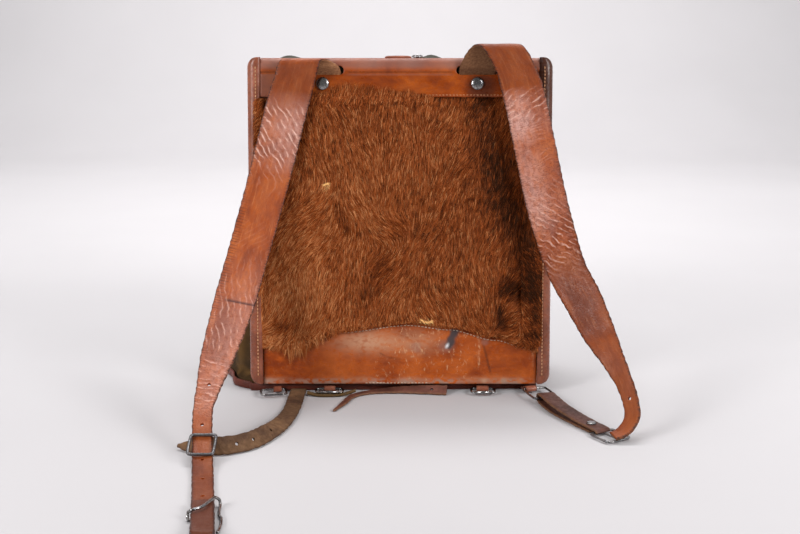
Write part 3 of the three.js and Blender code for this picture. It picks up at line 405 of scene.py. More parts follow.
# %% Shared effects
blotches, given, result = new_group("blotches", ["Vector", "Scale"], ["Cloud", "Speck"])
wide = noise(blotches, given["Vector"], given["Scale"], 4.0, 0.6, 0.4)
fine = noise(blotches, given["Vector"], times(blotches, given["Scale"], 7.0), 5.0)
blotches.links.new(between(blotches, wide, 0.3, 0.7), result["Cloud"])
blotches.links.new(between(blotches, fine, 0.3, 0.7), result["Speck"])

pores, given, result = new_group("pores", ["Vector", "Scale"], ["Height"])
cells = put(pores, "TexVoronoi", {"Vector": given["Vector"], "Scale": given["Scale"]}, feature="SMOOTH_F1")
broken = noise(pores, given["Vector"], given["Scale"], 3.0)
pores.links.new(math(pores, "ADD", times(pores, cells.outputs["Distance"], 0.8), times(pores, broken, 0.6)),
                result["Height"])

weave, given, result = new_group("weave", ["Vector", "Threads"], ["Height", "Slub"])
cloth = put(weave, "SeparateXYZ", {0: given["Vector"]}).outputs
over, under = (math(weave, "SINE", times(weave, cloth[k], given["Threads"])) for k in (0, 1))
weave.links.new(times(weave, over, under), result["Height"])
weave.links.new(noise(weave, scaled(weave, given["Vector"], 60, 700, 60), 1.0, 2.0), result["Slub"])
print("groups:", [g.name for g in bpy.data.node_groups])

# %% [markdown]
# Strap leather shows two sides. The grain side is reddish tan with streaks along the strap. Where it has
# bent for years it carries slanted ridges, with pale crests that are a painted highlight and dark valleys
# that are painted shade; where it has dried, a web of fine cracks; and along both edges short dark ticks.
# Painted shade darkens some stretches, and a painted sheen, a highlight, lightens others. The flesh side is
# brown suede. The meshes carry painted marks for all of these, so the finish follows the real folds. A ridge
# is a sine of the distance along the strap, leaning by the slant mark and led astray by a cloud; a crack is
# where a stretched cloud passes its middle.

# %% Strap leather
def ridge_lines(tree, vector, spread):
    """One along the lines where a noise passes a half, falling to zero at a distance set by spread."""
    cloud = noise(tree, vector, 1.0, 3.0, 0.55, 0.5)
    return between(tree, math(tree, "ABSOLUTE", math(tree, "SUBTRACT", cloud, 0.5)), spread, 0.0)


def bent_ridges(tree, hide):
    """A wave from -1 to 1, the sine of the distance square to the slant plus a cloud, and a broken mask."""
    place = put(tree, "SeparateXYZ", {0: hide}).outputs
    cloud = noise(tree, scaled(tree, hide, 55, 55, 1), 1.0, 2.0)
    slant = mark(tree, "slant")
    down = times(tree, place[1], math(tree, "COSINE", slant))
    over = times(tree, place[0], math(tree, "SINE", slant))
    run = times(tree, math(tree, "SUBTRACT", down, over), 980.0)
    wave = math(tree, "SINE", math(tree, "ADD", run, times(tree, cloud, 10.0)))
    broken = noise(tree, scaled(tree, hide, 85, 85, 1), 1.0, 3.0)
    return wave, times(tree, between(tree, broken, 0.4, 0.6), mark(tree, "wrinkle"))


def edge_ticks(tree, hide):
    """Short dark lines in from the edges: crests of a fast sine along the strap, kept near the rim."""
    along = put(tree, "SeparateXYZ", {0: hide}).outputs[1]
    cloud = noise(tree, scaled(tree, hide, 1, 120, 1), 1.0, 2.0)
    wave = math(tree, "SINE", math(tree, "ADD", times(tree, along, 1900.0), times(tree, cloud, 14.0)))
    return times(tree, between(tree, wave, 0.35, 0.9), mark(tree, "rim"))


def strap_leather():
    """Blotches and streaks, then painted shade and sheen, ridges with painted highlight and shade, cracks,
    ticks and edges; suede on the flesh side.
    """
    finish, tree, shader = new_finish("strap_leather")
    hide = put(tree, "UVMap", uv_map="UVMap").outputs[0]
    cloud = use(tree, blotches, {"Vector": scaled(tree, hide, 1, 0.5, 1), "Scale": 30.0})
    speck, shade, flesh = cloud["Speck"], mark(tree, "shade"), mark(tree, "flesh")
    streak = noise(tree, scaled(tree, hide, 420, 40, 1), 1.0, 3.0)
    painted_gleam = times(tree, mark(tree, "painted_sheen"), between(tree, speck, -0.9, 0.8))
    wave, mask = bent_ridges(tree, hide)
    valley_shade = times(tree, between(tree, wave, -0.3, -1.0), mask)
    crest_highlight = times(tree, between(tree, wave, 0.5, 1.0), mask)
    web = ridge_lines(tree, scaled(tree, hide, 150, 260, 1), 0.035)
    crack = times(tree, web, mark(tree, "crackle"))
    tick = edge_ticks(tree, hide)
    suede = ramp(tree, noise(tree, hide, 420.0, 4.0), [(0.3, tone(122, 80, 54)), (0.7, tone(172, 122, 86))])
    ground = ramp(tree, cloud["Cloud"], [(0.0, tone(126, 52, 16)), (0.45, tone(160, 74, 28)),
                                         (1.0, tone(186, 98, 46))])
    # The shade mark and the dark valleys are painted shade; the sheen and the pale crests are painted
    # highlight.
    colour = layered(tree, ground, [
        (between(tree, streak, 0.5, 0.95), tone(206, 124, 74)),
        (times(tree, speck, 0.25), tone(106, 46, 20)),
        (shade, tone(86, 40, 20)),
        (times(tree, painted_gleam, 0.66), tone(226, 180, 168)),
        (times(tree, valley_shade, 0.4), tone(112, 48, 28)),
        (times(tree, crest_highlight, 0.7), tone(238, 194, 178)),
        (times(tree, crack, 0.6), tone(104, 44, 28)),
        (times(tree, tick, 0.6), tone(70, 34, 24)),
        (mark(tree, "edge"), tone(48, 27, 24)),
        (mark(tree, "stain"), tone(60, 36, 40)),
        (flesh, mixed(tree, shade, suede, tone(62, 36, 20))),
    ])
    worn = math(tree, "MULTIPLY_ADD", speck, 0.2, 0.32)
    rough = math(tree, "MAXIMUM", worn, times(tree, flesh, 0.9))
    grain = use(tree, pores, {"Vector": hide, "Scale": 700.0})["Height"]
    height = math(tree, "MULTIPLY_ADD", grain, 0.3, times(tree, times(tree, wave, mask), 0.9))
    for line in (crack, tick):
        height = math(tree, "SUBTRACT", height, times(tree, line, 0.5))
    dress(tree, shader, colour, rough, 0.25, (height, 0.7, 0.001))
    return finish


strap_finish = strap_leather()
print("finish:", strap_finish.name)

# %% [markdown]
# Band leather is smoother and more orange. The bottom band has had a hard life: a pale rubbed area, a grey
# greasy smear, scratches and a scuffed lower edge. The large stains are painted marks on the mesh, the fine
# scratches are stretched noise. The marks also paint light and shade: a highlight on the top band's roll and
# below its crease, a white glint on the smear, and shade in the creases and round the right rivet.

# %% Band leather
def band_leather():
    """Orange-brown by blotches; rubbed, scratched, scuffed, dusty and greasy, with painted highlight, glint
    and shade, where the marks say so.
    """
    finish, tree, shader = new_finish("band_leather")
    place = object_place(tree)
    cloud = use(tree, blotches, {"Vector": scaled(tree, place, 1, 1, 1.6), "Scale": 22.0})
    speck, dust_and_highlight, grease = cloud["Speck"], mark(tree, "dust_and_highlight"), mark(tree, "smear")
    rubbed = times(tree, mark(tree, "worn"), between(tree, speck, -0.6, 0.7))
    scratch = noise(tree, scaled(tree, place, 330, 330, 130), 1.0, 5.0, 0.7, 0.6)
    fleck = times(tree, between(tree, scratch, 0.57, 0.7), mark(tree, "scratched"))
    ragged = times(tree, mark(tree, "scored"), between(tree, scratch, 0.36, 0.66))
    line = math(tree, "MAXIMUM", fleck, ragged)
    ground = ramp(tree, cloud["Cloud"], [(0.0, tone(128, 50, 8)), (0.5, tone(160, 70, 14)),
                                         (1.0, tone(182, 88, 28))])
    # The dark layer is partly painted shade, the dusty layer partly a painted highlight, and the white layer
    # a painted glint.
    colour = layered(tree, ground, [
        (times(tree, speck, 0.25), tone(100, 40, 14)),
        (rubbed, tone(190, 140, 108)),
        (line, tone(206, 156, 116)),
        (times(tree, mark(tree, "scuff"), between(tree, speck, 0.1, 0.7)), tone(158, 124, 108)),
        (mark(tree, "dark"), tone(58, 28, 16)),
        (dust_and_highlight, tone(134, 98, 88)),
        (grease, tone(66, 60, 62)),
        (mark(tree, "painted_gleam"), tone(244, 240, 242)),
    ])
    rough = math(tree, "MULTIPLY_ADD", speck, 0.15, 0.24)
    for share, more in ((rubbed, 0.25), (dust_and_highlight, 0.3), (grease, -0.2)):
        rough = math(tree, "MULTIPLY_ADD", share, more, rough)
    grain = use(tree, pores, {"Vector": place, "Scale": 1100.0})["Height"]
    height = math(tree, "ADD", times(tree, grain, 0.5), times(tree, speck, 0.8))
    dress(tree, shader, colour, rough, 0.28, (math(tree, "SUBTRACT", height, line), 0.35, 0.0004))
    return finish


band_finish = band_leather()
print("finish:", band_finish.name)

# %% [markdown]
# The bindings, chapes and base edge are dark reddish leather, polished by handling. The lower straps are
# rougher and browner. One function makes them all, from three colours, a roughness and a grain.

# %% Dark leathers
def dark_leather(name, dark, light, rim, rough_low, grain_size, strength):
    """Two colours by blotches and one for the rims, a roughness that wanders upward, and pores."""
    finish, tree, shader = new_finish(name)
    place = object_place(tree)
    cloud = use(tree, blotches, {"Vector": place, "Scale": 34.0})
    colour = layered(tree, mixed(tree, cloud["Cloud"], dark, light), [
        (times(tree, cloud["Speck"], 0.3), tone(48, 28, 22)),
        (mark(tree, "edge"), rim),
    ])
    rough = math(tree, "MULTIPLY_ADD", cloud["Speck"], 0.2, rough_low)
    grain = use(tree, pores, {"Vector": place, "Scale": grain_size})["Height"]
    dress(tree, shader, colour, rough, 0.3, (grain, strength, 0.0005))
    return finish


binding_finish = dark_leather("binding_leather", tone(124, 66, 46), tone(168, 102, 78), tone(52, 34, 28),
                              0.2, 900.0, 0.2)
suede_finish = dark_leather("rough_leather", tone(82, 56, 38), tone(128, 94, 64), tone(62, 42, 30),
                            0.7, 700.0, 0.8)
brown_finish = dark_leather("brown_leather", tone(66, 36, 28), tone(98, 58, 46), tone(122, 86, 54),
                            0.45, 800.0, 0.4)
faded_finish = dark_leather("faded_leather", tone(84, 48, 38), tone(122, 75, 62), tone(126, 90, 60),
                            0.42, 800.0, 0.4)
welt_finish = dark_leather("welt_leather", tone(78, 30, 18), tone(116, 50, 32), tone(60, 34, 28),
                           0.35, 800.0, 0.4)
dark_finishes = (binding_finish, suede_finish, brown_finish, faded_finish, welt_finish)
print("dark leathers:", [finish.name for finish in dark_finishes])

# %% [markdown]
# The canvas is a plain weave of thick thread. Its UV map is in metres along the cloth, so that the threads
# run with the cloth round every fold. Dust lightens it in blotches. Steel and thread are blotched as well,
# because nothing on an old pack is one even colour.

# %% Canvas, steel and thread
def canvas(name, dark, light):
    """Two colours by blotches and slubs, with the weave as bump. The edge mark darkens hems and edges and
    paints shade in hollows; the ridge mark paints a highlight on fold crests.
    """
    finish, tree, shader = new_finish(name)
    cloth = put(tree, "UVMap", uv_map="UVMap").outputs[0]
    cloud = use(tree, blotches, {"Vector": cloth, "Scale": 16.0})
    threads = use(tree, weave, {"Vector": cloth, "Threads": 3600.0})
    faded = math(tree, "MULTIPLY_ADD", cloud["Cloud"], 0.3, 0.3)
    gaps = between(tree, threads["Height"], 0.2, -0.8)
    # The ridge layer is a painted highlight; the edge layer is darker hems and edges and painted shade in
    # hollows.
    colour = layered(tree, mixed(tree, faded, dark, light), [
        (times(tree, cloud["Speck"], 0.35), dark),
        (times(tree, gaps, 0.5), dimmed(dark, 0.45)),
        (times(tree, threads["Slub"], 0.35), light),
        (mark(tree, "ridge_highlight"), dimmed(light, 1.5)),
        (mark(tree, "edge"), dimmed(dark, 0.25)),
    ])
    shader.inputs["Sheen Weight"].default_value = 0.04
    dress(tree, shader, colour, 0.9, 0.12, (threads["Height"], 0.6, 0.0004))
    return finish


def steel(name, dark, light, gloss):
    """Plated steel: two greys by blotches, tarnish in the specks, roughness that wanders up from gloss."""
    finish, tree, shader = new_finish(name)
    cloud = use(tree, blotches, {"Vector": object_place(tree), "Scale": 90.0})
    tarnish = times(tree, between(tree, cloud["Speck"], 0.55, 0.9), 0.6)
    colour = layered(tree, mixed(tree, cloud["Cloud"], dark, light), [(tarnish, tone(82, 68, 58))])
    shader.inputs["Metallic"].default_value = 1.0
    rough = math(tree, "MULTIPLY_ADD", cloud["Speck"], 0.2, gloss)
    dress(tree, shader, colour, rough, bump=(cloud["Speck"], 0.25, 0.0002))
    return finish


def thread(name, colour):
    """Waxed thread: one colour, dirtied in blotches, with a fine twist as bump."""
    finish, tree, shader = new_finish(name)
    cloud = use(tree, blotches, {"Vector": object_place(tree), "Scale": 60.0})
    soiled = mixed(tree, times(tree, cloud["Cloud"], 0.6), colour, dimmed(colour, 0.45))
    dress(tree, shader, soiled, 0.6, bump=(cloud["Speck"], 0.4, 0.0002))
    return finish


canvas_finish = canvas("olive_canvas", tone(46, 31, 16), tone(94, 68, 37))
strip_finish = canvas("pale_canvas", tone(84, 60, 32), tone(142, 110, 66))
lid_finish = canvas("grey_canvas", tone(58, 57, 50), tone(86, 84, 74))
steel_finish = steel("steel", tone(118, 118, 122), tone(168, 166, 164), 0.16)
dull_steel = steel("dull_steel", tone(92, 92, 96), tone(124, 123, 124), 0.34)
cream_thread = thread("cream_thread", tone(226, 204, 178))
tan_thread = thread("tan_thread", tone(214, 156, 112))
dark_thread = thread("dark_thread", tone(96, 66, 52))
print("materials:", len(bpy.data.materials))

# %% [markdown]
# Now the panel. The hair's depth is a formula of the place on the panel: a nap that thins towards the
# edges, locks in staggered rows, partings that dip and tufts that stand up. The arch is the upper edge of
# the bottom band, and hang says how far the hair falls over it.

# %% The hair's depth
PANEL_LENGTH = 371.0
PANEL_INNER = 154.7
BAND_LOW = 327.0
ARCH_U = [-155, -105, -65, 10, 55, 108, 140, 155]
ARCH_EDGE = [49, 59, 66, 74, 69, 57, 49, 43]
HANG_U = [-155, -130, -112, -96, -79, -62, -30, 10, 55, 108, 140, 155]
HANG = [9, 15, 17, 8, 5, 1, -1.5, -2, -2, -0.5, 4, 4]
NAP, NAP_EDGE, NAP_LEAST = 7.5, 4.2, 3.6
LOCK_WIDTH, LOCK_LENGTH, LOCK_RISE = 29.0, 37.0, 1.1
# Each parting: from u, v to u, v, then its width and depth.
PARTINGS = [(-80, 222, -54, 178, 9, 3.2), (-15, 158, -42, 96, 12, 3.4),
            (-152, 84, -112, 76, 8, 2.6), (118, 128, 150, 92, 11, 2.8)]
# Each tuft: u, v, its half sizes across and along, and its rise.
TUFTS = [(-12, 182, 24, 26, 2.4), (-92, 196, 26, 40, 2.0), (142, 66, 17, 20, 2.8),
         (-132, 52, 24, 16, 2.8), (96, 106, 38, 34, 2.0), (20, 262, 70, 40, 1.6)]


def beside(u, v, u0, v0, u1, v1):
    """Distance from places to a straight stretch: the nearest point's share is held between 0 and 1."""
    du, dv = u1 - u0, v1 - v0
    share = np.clip(((u - u0) * du + (v - v0) * dv) / (du * du + dv * dv), 0, 1)
    return np.hypot(u - u0 - share * du, v - v0 - share * dv)


def nap(u, v):
    """Depth of the hair above the hide: nap, plus locks and tufts, less partings."""
    side = smooth(PANEL_INNER - np.abs(u), 0, 26)
    top = smooth(BAND_LOW - v, 0, 16)
    depth = NAP_EDGE + (NAP - NAP_EDGE) * side * (0.45 + 0.55 * top)
    shifted = v / LOCK_LENGTH + 0.35 * np.sin(u / 31)
    row = np.floor(shifted)
    across = np.cos((u / LOCK_WIDTH + row * 0.37) * 2 * np.pi)
    depth = depth + LOCK_RISE * side * top * (0.8 - 1.6 * (shifted - row) + 0.7 * across)
    for u0, v0, u1, v1, width, deep in PARTINGS:
        depth = depth - deep * bell(beside(u, v, u0, v0, u1, v1) / width)
    for tu, tv, wide_u, wide_v, rise in TUFTS:
        depth = depth + rise * bell((u - tu) / wide_u) * bell((v - tv) / wide_v)
    return np.maximum(depth, NAP_LEAST)


def arch_at(u):
    """Height of the bottom band's upper edge."""
    return eased(u, ARCH_U, ARCH_EDGE)


print("nap in the middle:", round(float(nap(0.0, 240.0)), 1), "mm")

# %% [markdown]
# Hair is combed. A short table of strokes, each with a place, a lean from straight down and a reach, is
# blended with bell weights into one smooth field. Strands will follow it, so that partings and swirls come
# out where neighbouring strokes disagree.

# %% The comb
# Each stroke: u, v, lean in degrees from straight down with right positive, and reach.
STROKES = np.array([
    (-80, 305, 16, 40), (0, 305, -4, 45), (75, 305, -26, 40), (130, 300, -16, 40),
    (-62, 255, 18, 38), (0, 250, -2, 45), (65, 240, -20, 45), (130, 225, -14, 45),
    (-115, 225, -34, 26), (-95, 192, -50, 26), (-122, 160, -44, 28), (-72, 158, -24, 28),
    (-84, 118, -6, 30), (-122, 108, -10, 30), (-46, 196, 34, 18), (-22, 186, 66, 15),
    (0, 186, 46, 14), (22, 186, -14, 24), (18, 140, -34, 24), (-14, 116, -44, 22),
    (-52, 118, 6, 22), (28, 104, 16, 26), (62, 102, 30, 22), (84, 122, 14, 22),
    (103, 104, -4, 14), (122, 112, -38, 18), (142, 98, -56, 16), (150, 64, 58, 13),
    (134, 54, -70, 13), (70, 170, -12, 38), (132, 168, -10, 36), (-143, 60, -82, 16),
    (-116, 54, -40, 20), (-86, 62, -32, 22), (-56, 80, -14, 20), (-142, 92, -16, 22),
    (0, 84, 6, 22), (44, 82, 22, 20),
], float)


def combed(u, v):
    """Direction of the hair in the panel: strokes' directions, each weighed by a bell of its distance."""
    lean = np.radians(STROKES[:, 2])
    far = ((u[:, None] - STROKES[:, 0]) ** 2 + (v[:, None] - STROKES[:, 1]) ** 2) / STROKES[:, 3] ** 2
    weight = np.exp(-far) + 1e-9
    angle = np.arctan2(weight @ np.sin(lean), weight @ np.cos(lean))
    angle = angle + 0.16 * np.sin(u / 11 + 1.7 * np.sin(v / 23)) + 0.12 * np.sin(v / 9 - u / 15)
    return np.sin(angle), -np.cos(angle)


print("strokes:", len(STROKES))

# %% [markdown]
# Under the strands lies a dark coat, the depth of hair that the eye can't see into; its dark brown is partly
# the hair's colour and partly painted shade. It is a closed slab a little lower than the nap. Two worn spots
# show bare hide that shines: the coat carries a mark there that makes it glossy and paints it bright gold, a
# painted highlight. The lower spot is a crescent, made of three ellipses.

# %% Coat finish and mesh
# Each ellipse of a worn spot: u, v, half its length and width, and its turn.
BALD = [(-82.4, 230, 4.6, 1.5, 0.3), (24.8, 77.2, 3.4, 1.2, -0.65), (30, 75, 3.2, 1.0, 0),
        (35.2, 76, 3.4, 1.3, 0.5)]


def bald_and_glint(u, v):
    """One inside the worn spots and zero away from them: ellipses turned by a small angle."""
    shown = np.zeros(np.broadcast(u, v).shape)
    for bu, bv, long, wide_v, turn in BALD:
        a = (u - bu) * np.cos(turn) + (v - bv) * np.sin(turn)
        b = (v - bv) * np.cos(turn) - (u - bu) * np.sin(turn)
        shown = np.maximum(shown, 1 - smooth(np.hypot(a / long, b / wide_v), 0.55, 1.0))
    return shown


def coat_finish():
    """Dark brown streaks, partly painted shade; glossy bare hide painted gold as a highlight in the worn
    spots.
    """
    finish, tree, shader = new_finish("fur_coat")
    cloud = use(tree, blotches, {"Vector": scaled(tree, object_place(tree), 3, 3, 1), "Scale": 40.0})
    spot = mark(tree, "bald_and_glint")
    colour = layered(tree, mixed(tree, cloud["Speck"], tone(64, 26, 8), tone(100, 46, 18)),
                     [(spot, tone(255, 206, 128))])
    rough = math(tree, "MULTIPLY_ADD", spot, -0.6, 0.85)
    dress(tree, shader, colour, rough, bump=(cloud["Speck"], 0.3, 0.0005))
    return finish


COAT_HALF, COAT_SINK, COAT_FOOT, COAT_UNDER_BAND = 155.3, 1.6, 1.4, 2.4
coat_u, coat_t = np.meshgrid(np.linspace(-COAT_HALF, COAT_HALF, 88), np.linspace(0, 1, 82), indexing="ij")
coat_low = arch_at(coat_u) + 0.8
coat_v = coat_low + (BAND_LOW + 6 - coat_low) * coat_t
coat_w = np.where(coat_v > BAND_LOW - 1, COAT_UNDER_BAND, nap(coat_u, coat_v) - COAT_SINK)
coat_w = np.where(coat_t == 0, COAT_FOOT, coat_w)
wall_piece("fur_coat", on_panel(coat_u, coat_v, coat_w), on_panel(coat_u, coat_v, 0.0), coat_finish(), "fur",
           "fur_panel", marks={"bald_and_glint": bald_and_glint(coat_u, coat_v)})
print("coat triangles:", made_triangles["fur_coat"])

# %% [markdown]
# Each strand is a thin tapered ribbon of two spans that starts under the coat's surface, follows the comb
# and rises to the nap's height. Strands lean towards a tip shared by their lock, which gives the fine clumps
# of real hair. Their UV map is a palette: across is how light the strand is, up is root to tip. The finish
# reads only that palette, so a strand's colour depends on its UV place alone.

# %% Strand finish
def strand_finish():
    """Dark to pale brown along the palette, darkened towards the root."""
    finish, tree, shader = new_finish("fur_strands")
    palette = put(tree, "SeparateXYZ", {0: put(tree, "UVMap", uv_map="OFBake").outputs[0]}).outputs
    # The last, golden stop is reached only by the painted glint in the worn spots.
    ground = ramp(tree, palette[0], [(0.0, tone(30, 9, 2)), (0.25, tone(86, 36, 11)),
                                     (0.5, tone(144, 67, 26)), (0.75, tone(176, 94, 46)),
                                     (0.92, tone(210, 140, 88)), (1.0, tone(255, 204, 130))])
    root = times(tree, between(tree, palette[1], 0.6, 0.0), 0.45)
    dress(tree, shader, mixed(tree, root, ground, tone(58, 22, 6)), 0.48, 0.22)
    shader.inputs["Specular Tint"].default_value = (1.0, 0.62, 0.36, 1.0)
    return finish


fur_finish = strand_finish()
print("finish:", fur_finish.name)

# %% [markdown]
# Blender's hair curves could grow this coat, but they would have to become meshes before the export. So the
# strands are meshes from the start, and a few numpy steps walk all of them along the comb at once.

# %% Strands
STRANDS = 182000
STRAND_SPANS = np.array([0.0, 0.5, 1.0])
STRAND_LIFT = np.array([-2.0, 0.7, 0.8])
STRAND_PULL = np.array([0.0, 0.14, 0.45])
STRAND_WIDTH = np.array([0.5, 0.46, 0.0])
STRAND_FARTHEST, STRAND_SINK, OVER_BAND = 157.5, 0.9, 4.4
FLANGE_AT, FLANGE_TOP = 154.8, 7.0
ROOT_HALF, HAIR_SHORT, HAIR_LONG = 154.0, 9, 17
LOCK_CELL, LOCK_TALL = 3.4, 1.7
random = np.random.default_rng(1872)
strand_sets = []


def cell_noise(i, j, seed):
    """A repeatable random number from 0 to 1 for each whole-numbered cell."""
    value = np.sin(i * 127.1 + j * 311.7 + seed * 74.7) * 43758.5453
    return value - np.floor(value)


def edge_room(u, v):
    """How far down a hair may reach: to the band's edge, and past it by the hang of that place."""
    return v - arch_at(u) + eased(u, HANG_U, HANG)


def walk(u, v, stray, length):
    """Places along the comb from a root, in steps of the strand's spans, turned by each strand's stray."""
    rows_u, rows_v = [u], [v]
    for step in np.diff(STRAND_SPANS):
        du, dv = combed(rows_u[-1], rows_v[-1])
        rows_u.append(rows_u[-1] + (du * np.cos(stray) - dv * np.sin(stray)) * length * step)
        rows_v.append(rows_v[-1] + (du * np.sin(stray) + dv * np.cos(stray)) * length * step)
    return np.stack(rows_u, 1), np.stack(rows_v, 1)


def grow(u, v, length):
    """Places of strands in panel coordinates, drawn to their lock's tip, and the lock of each as a cell."""
    i, j = np.floor(u / LOCK_CELL), np.floor(v / (LOCK_CELL * LOCK_TALL))
    centre_u = (i + 0.1 + 0.8 * cell_noise(i, j, 1)) * LOCK_CELL
    centre_v = (j + 0.1 + 0.8 * cell_noise(i, j, 2)) * LOCK_CELL * LOCK_TALL
    own_u, own_v = walk(u, v, random.normal(0, 0.16, len(u)), length)
    lock_u, lock_v = walk(centre_u, centre_v, np.zeros(len(u)), length)
    path_u = own_u * (1 - STRAND_PULL) + lock_u * STRAND_PULL
    path_u = np.clip(path_u, -STRAND_FARTHEST, STRAND_FARTHEST)
    path_v = own_v * (1 - STRAND_PULL) + lock_v * STRAND_PULL
    over = smooth(arch_at(path_u) + 1 - path_v, 0, 8)
    fly = random.gamma(1.3, 0.5, (len(u), 1)) * np.array([0, 0.6, 1.0])
    path_w = nap(path_u, path_v) * (1 - over) + OVER_BAND * over - STRAND_SINK
    path_w = path_w + STRAND_LIFT + fly * (1 - 0.5 * over)
    path_w = np.where(np.abs(path_u) > FLANGE_AT, np.maximum(path_w, FLANGE_TOP), path_w)
    return path_u, path_v, path_w, i, j


root_u = random.uniform(-ROOT_HALF, ROOT_HALF, STRANDS)
root_low = arch_at(root_u) + 0.5
root_v = root_low + (BAND_LOW + 1 - root_low) * random.uniform(0, 1, STRANDS)
root_length = random.uniform(HAIR_SHORT, HAIR_LONG, STRANDS)
near_foot = (1 - smooth(root_v - root_low, 0, 18)) * np.maximum(eased(root_u, HANG_U, HANG), 0)
room = edge_room(root_u, root_v) + random.uniform(0.5, 3.5, STRANDS)
grown = grow(root_u, root_v, np.minimum(root_length + near_foot, room))
halfway = [np.concatenate([row, (row[:, 1:] + row[:, :-1]) / 2], 1) for row in grown[:2]]
shown = random.uniform(0, 1, STRANDS) > 1.2 * bald_and_glint(*halfway).max(1)
strand_sets.append([row[shown] for row in grown])
print("strands:", shown.sum())

# %% [markdown]
# Along the left half of the top band the hair stands up and its tips lie over the leather. These strands
# point upward, and lie a little in front of the band's face.

# %% Tips over the top band
TIPS, TIP_LEAN = 7200, np.radians(14)
TIP_HEIGHTS = np.array([5.0, 7.6, 7.2])
tip_u = random.uniform(-104, 34, TIPS)
tip_luck = 0.35 + 0.9 * cell_noise(np.floor(tip_u / 3.1), 7, 5)
tip_reach = eased(tip_u, [-104, -70, -30, 0, 34], [4, 14, 12, 8, 3])
tip_reach = tip_reach * random.uniform(0.2, 1.2, TIPS) * tip_luck
tip_v = BAND_LOW - random.uniform(0, 15, TIPS)
tip_lean = TIP_LEAN + random.normal(0, 0.22, TIPS)
tip_far = (tip_reach + BAND_LOW - tip_v)[:, None] * STRAND_SPANS
tips_u = tip_u[:, None] + tip_far * np.sin(tip_lean)[:, None]
tips_v = tip_v[:, None] + tip_far * np.cos(tip_lean)[:, None]
tips_w = TIP_HEIGHTS + random.uniform(0, 1.2, (TIPS, 1))
strand_sets.append([tips_u, tips_v, tips_w, np.floor(tip_u / 2), np.full(TIPS, 500.0)])
print("tips:", TIPS)

# %% [markdown]
# On the left the hair lies over the flange of the binding, so that only the roll's outer line shows beside
# it. Low on the right it covers the inner half of the flange, up to the stitches.

# %% Hair over the bindings
# Each side: its sign, how many hairs, the roots' range up the panel and out from its middle, and the
# farthest tip.
WISPS = [(-1, 7500, 112, 326, 151, 157.5, 164.6), (1, 4800, 54, 160, 136, 156.6, 159.8)]
WISP_LEAN, WISP_HEIGHTS = np.radians(38), np.array([7.6, 9.2, 9.0])
for side, count, low, high, inner, outer, farthest in WISPS:
    wisp_v = random.uniform(low, high, count)
    wisp_u = random.uniform(inner, outer, count)
    wisp_lean = WISP_LEAN + random.normal(0, 0.25, count)
    wisp_reach = random.uniform(6, 13, count)[:, None] * STRAND_SPANS
    wisps_u = side * np.minimum(wisp_u[:, None] + wisp_reach * np.sin(wisp_lean)[:, None], farthest)
    wisps_v = wisp_v[:, None] - wisp_reach * np.cos(wisp_lean)[:, None]
    wisps_w = WISP_HEIGHTS + random.uniform(0, 0.9, (count, 1))
    strand_sets.append([wisps_u, wisps_v, wisps_w, np.full(count, 700.0), np.floor(wisp_v / 4)])
print("hairs over the bindings:", [row[1] for row in WISPS])

# %% [markdown]
# At the lower left the hair is long and hangs over the bottom band in pointed wisps. Each wisp is a lock of
# strands that start side by side above the band's edge and draw together towards one tip.

# %% Hair over the bottom band
# Each wisp: u and v of its root, u and v of its tip, and its width at the root.
HANGING = np.array([
    (-148, 56, -152, 46, 9), (-140, 54, -150, 42, 10), (-134, 56, -138, 40, 9), (-127, 58, -126, 33, 9),
    (-121, 56, -124, 25, 7), (-116, 60, -113, 31, 9), (-110, 58, -108, 30, 7), (-105, 62, -99, 41, 9),
    (-98, 60, -93, 45, 7), (-92, 66, -87, 49, 9), (-84, 66, -80, 53, 8), (-76, 68, -72, 57, 8),
    (-131, 52, -131, 36, 6), (-113, 54, -118, 34, 6), (-102, 56, -104, 42, 7),
])
HAIRS, HANG_FARTHEST, HANG_HEIGHTS = 150, -154.4, np.array([4.6, 6.6, 4.5])
from_u, from_v, to_u, to_v, lock_wide = np.repeat(HANGING, HAIRS, 0).T[..., None]
hang_count = len(from_u)
hang_side = random.normal(0, 0.4, (hang_count, 1))
hang_reach = random.uniform(0.55, 1.05, (hang_count, 1)) * STRAND_SPANS
sway = 2.2 * np.sin(np.pi * hang_reach) * random.normal(0.3, 0.6, (hang_count, 1))
hang_u = from_u + (to_u - from_u) * hang_reach + sway + hang_side * lock_wide * (1 - 0.75 * hang_reach)
hang_u = np.maximum(hang_u, HANG_FARTHEST)
hang_v = from_v + (to_v - from_v) * hang_reach + random.uniform(-2, 6, (hang_count, 1))
hang_w = HANG_HEIGHTS + random.uniform(0, 1.4, (hang_count, 1))
hang_lock = np.repeat(np.arange(len(HANGING)), HAIRS)
strand_sets.append([hang_u, hang_v, hang_w, hang_lock, np.full(hang_count, 900.0)])
print("hanging hairs:", hang_count)

# %% [markdown]
# Short hairs lie flat in the worn spots. Their golden colour is a painted highlight, from the glint in their
# tone.

# %% Hair in the worn spots, painted golden as a highlight
GLINT_HAIRS, GLINT_HAIR_LENGTH = 54, 4.4
spot_u, spot_v, spot_long, spot_wide, spot_turn = np.repeat(np.array(BALD), GLINT_HAIRS, 0).T[..., None]
ahead = spot_long * random.uniform(-1, 1, spot_u.shape) + GLINT_HAIR_LENGTH * (STRAND_SPANS - 0.5)
aside = spot_wide * random.normal(0, 0.5, spot_u.shape)
aside = aside + random.normal(0, 0.5, spot_u.shape) * (STRAND_SPANS - 0.5)
glint_u = spot_u + ahead * np.cos(spot_turn) - aside * np.sin(spot_turn)
glint_v = spot_v + ahead * np.sin(spot_turn) + aside * np.cos(spot_turn)
glint_w = nap(glint_u, glint_v) + np.array([-0.4, 0.9, 0.3]) + random.uniform(0, 0.4, spot_u.shape)
glint_lock = np.full(len(glint_u), 300.0)
strand_sets.append([glint_u, glint_v, glint_w, glint_lock, glint_lock])
print("golden hairs:", len(glint_u))
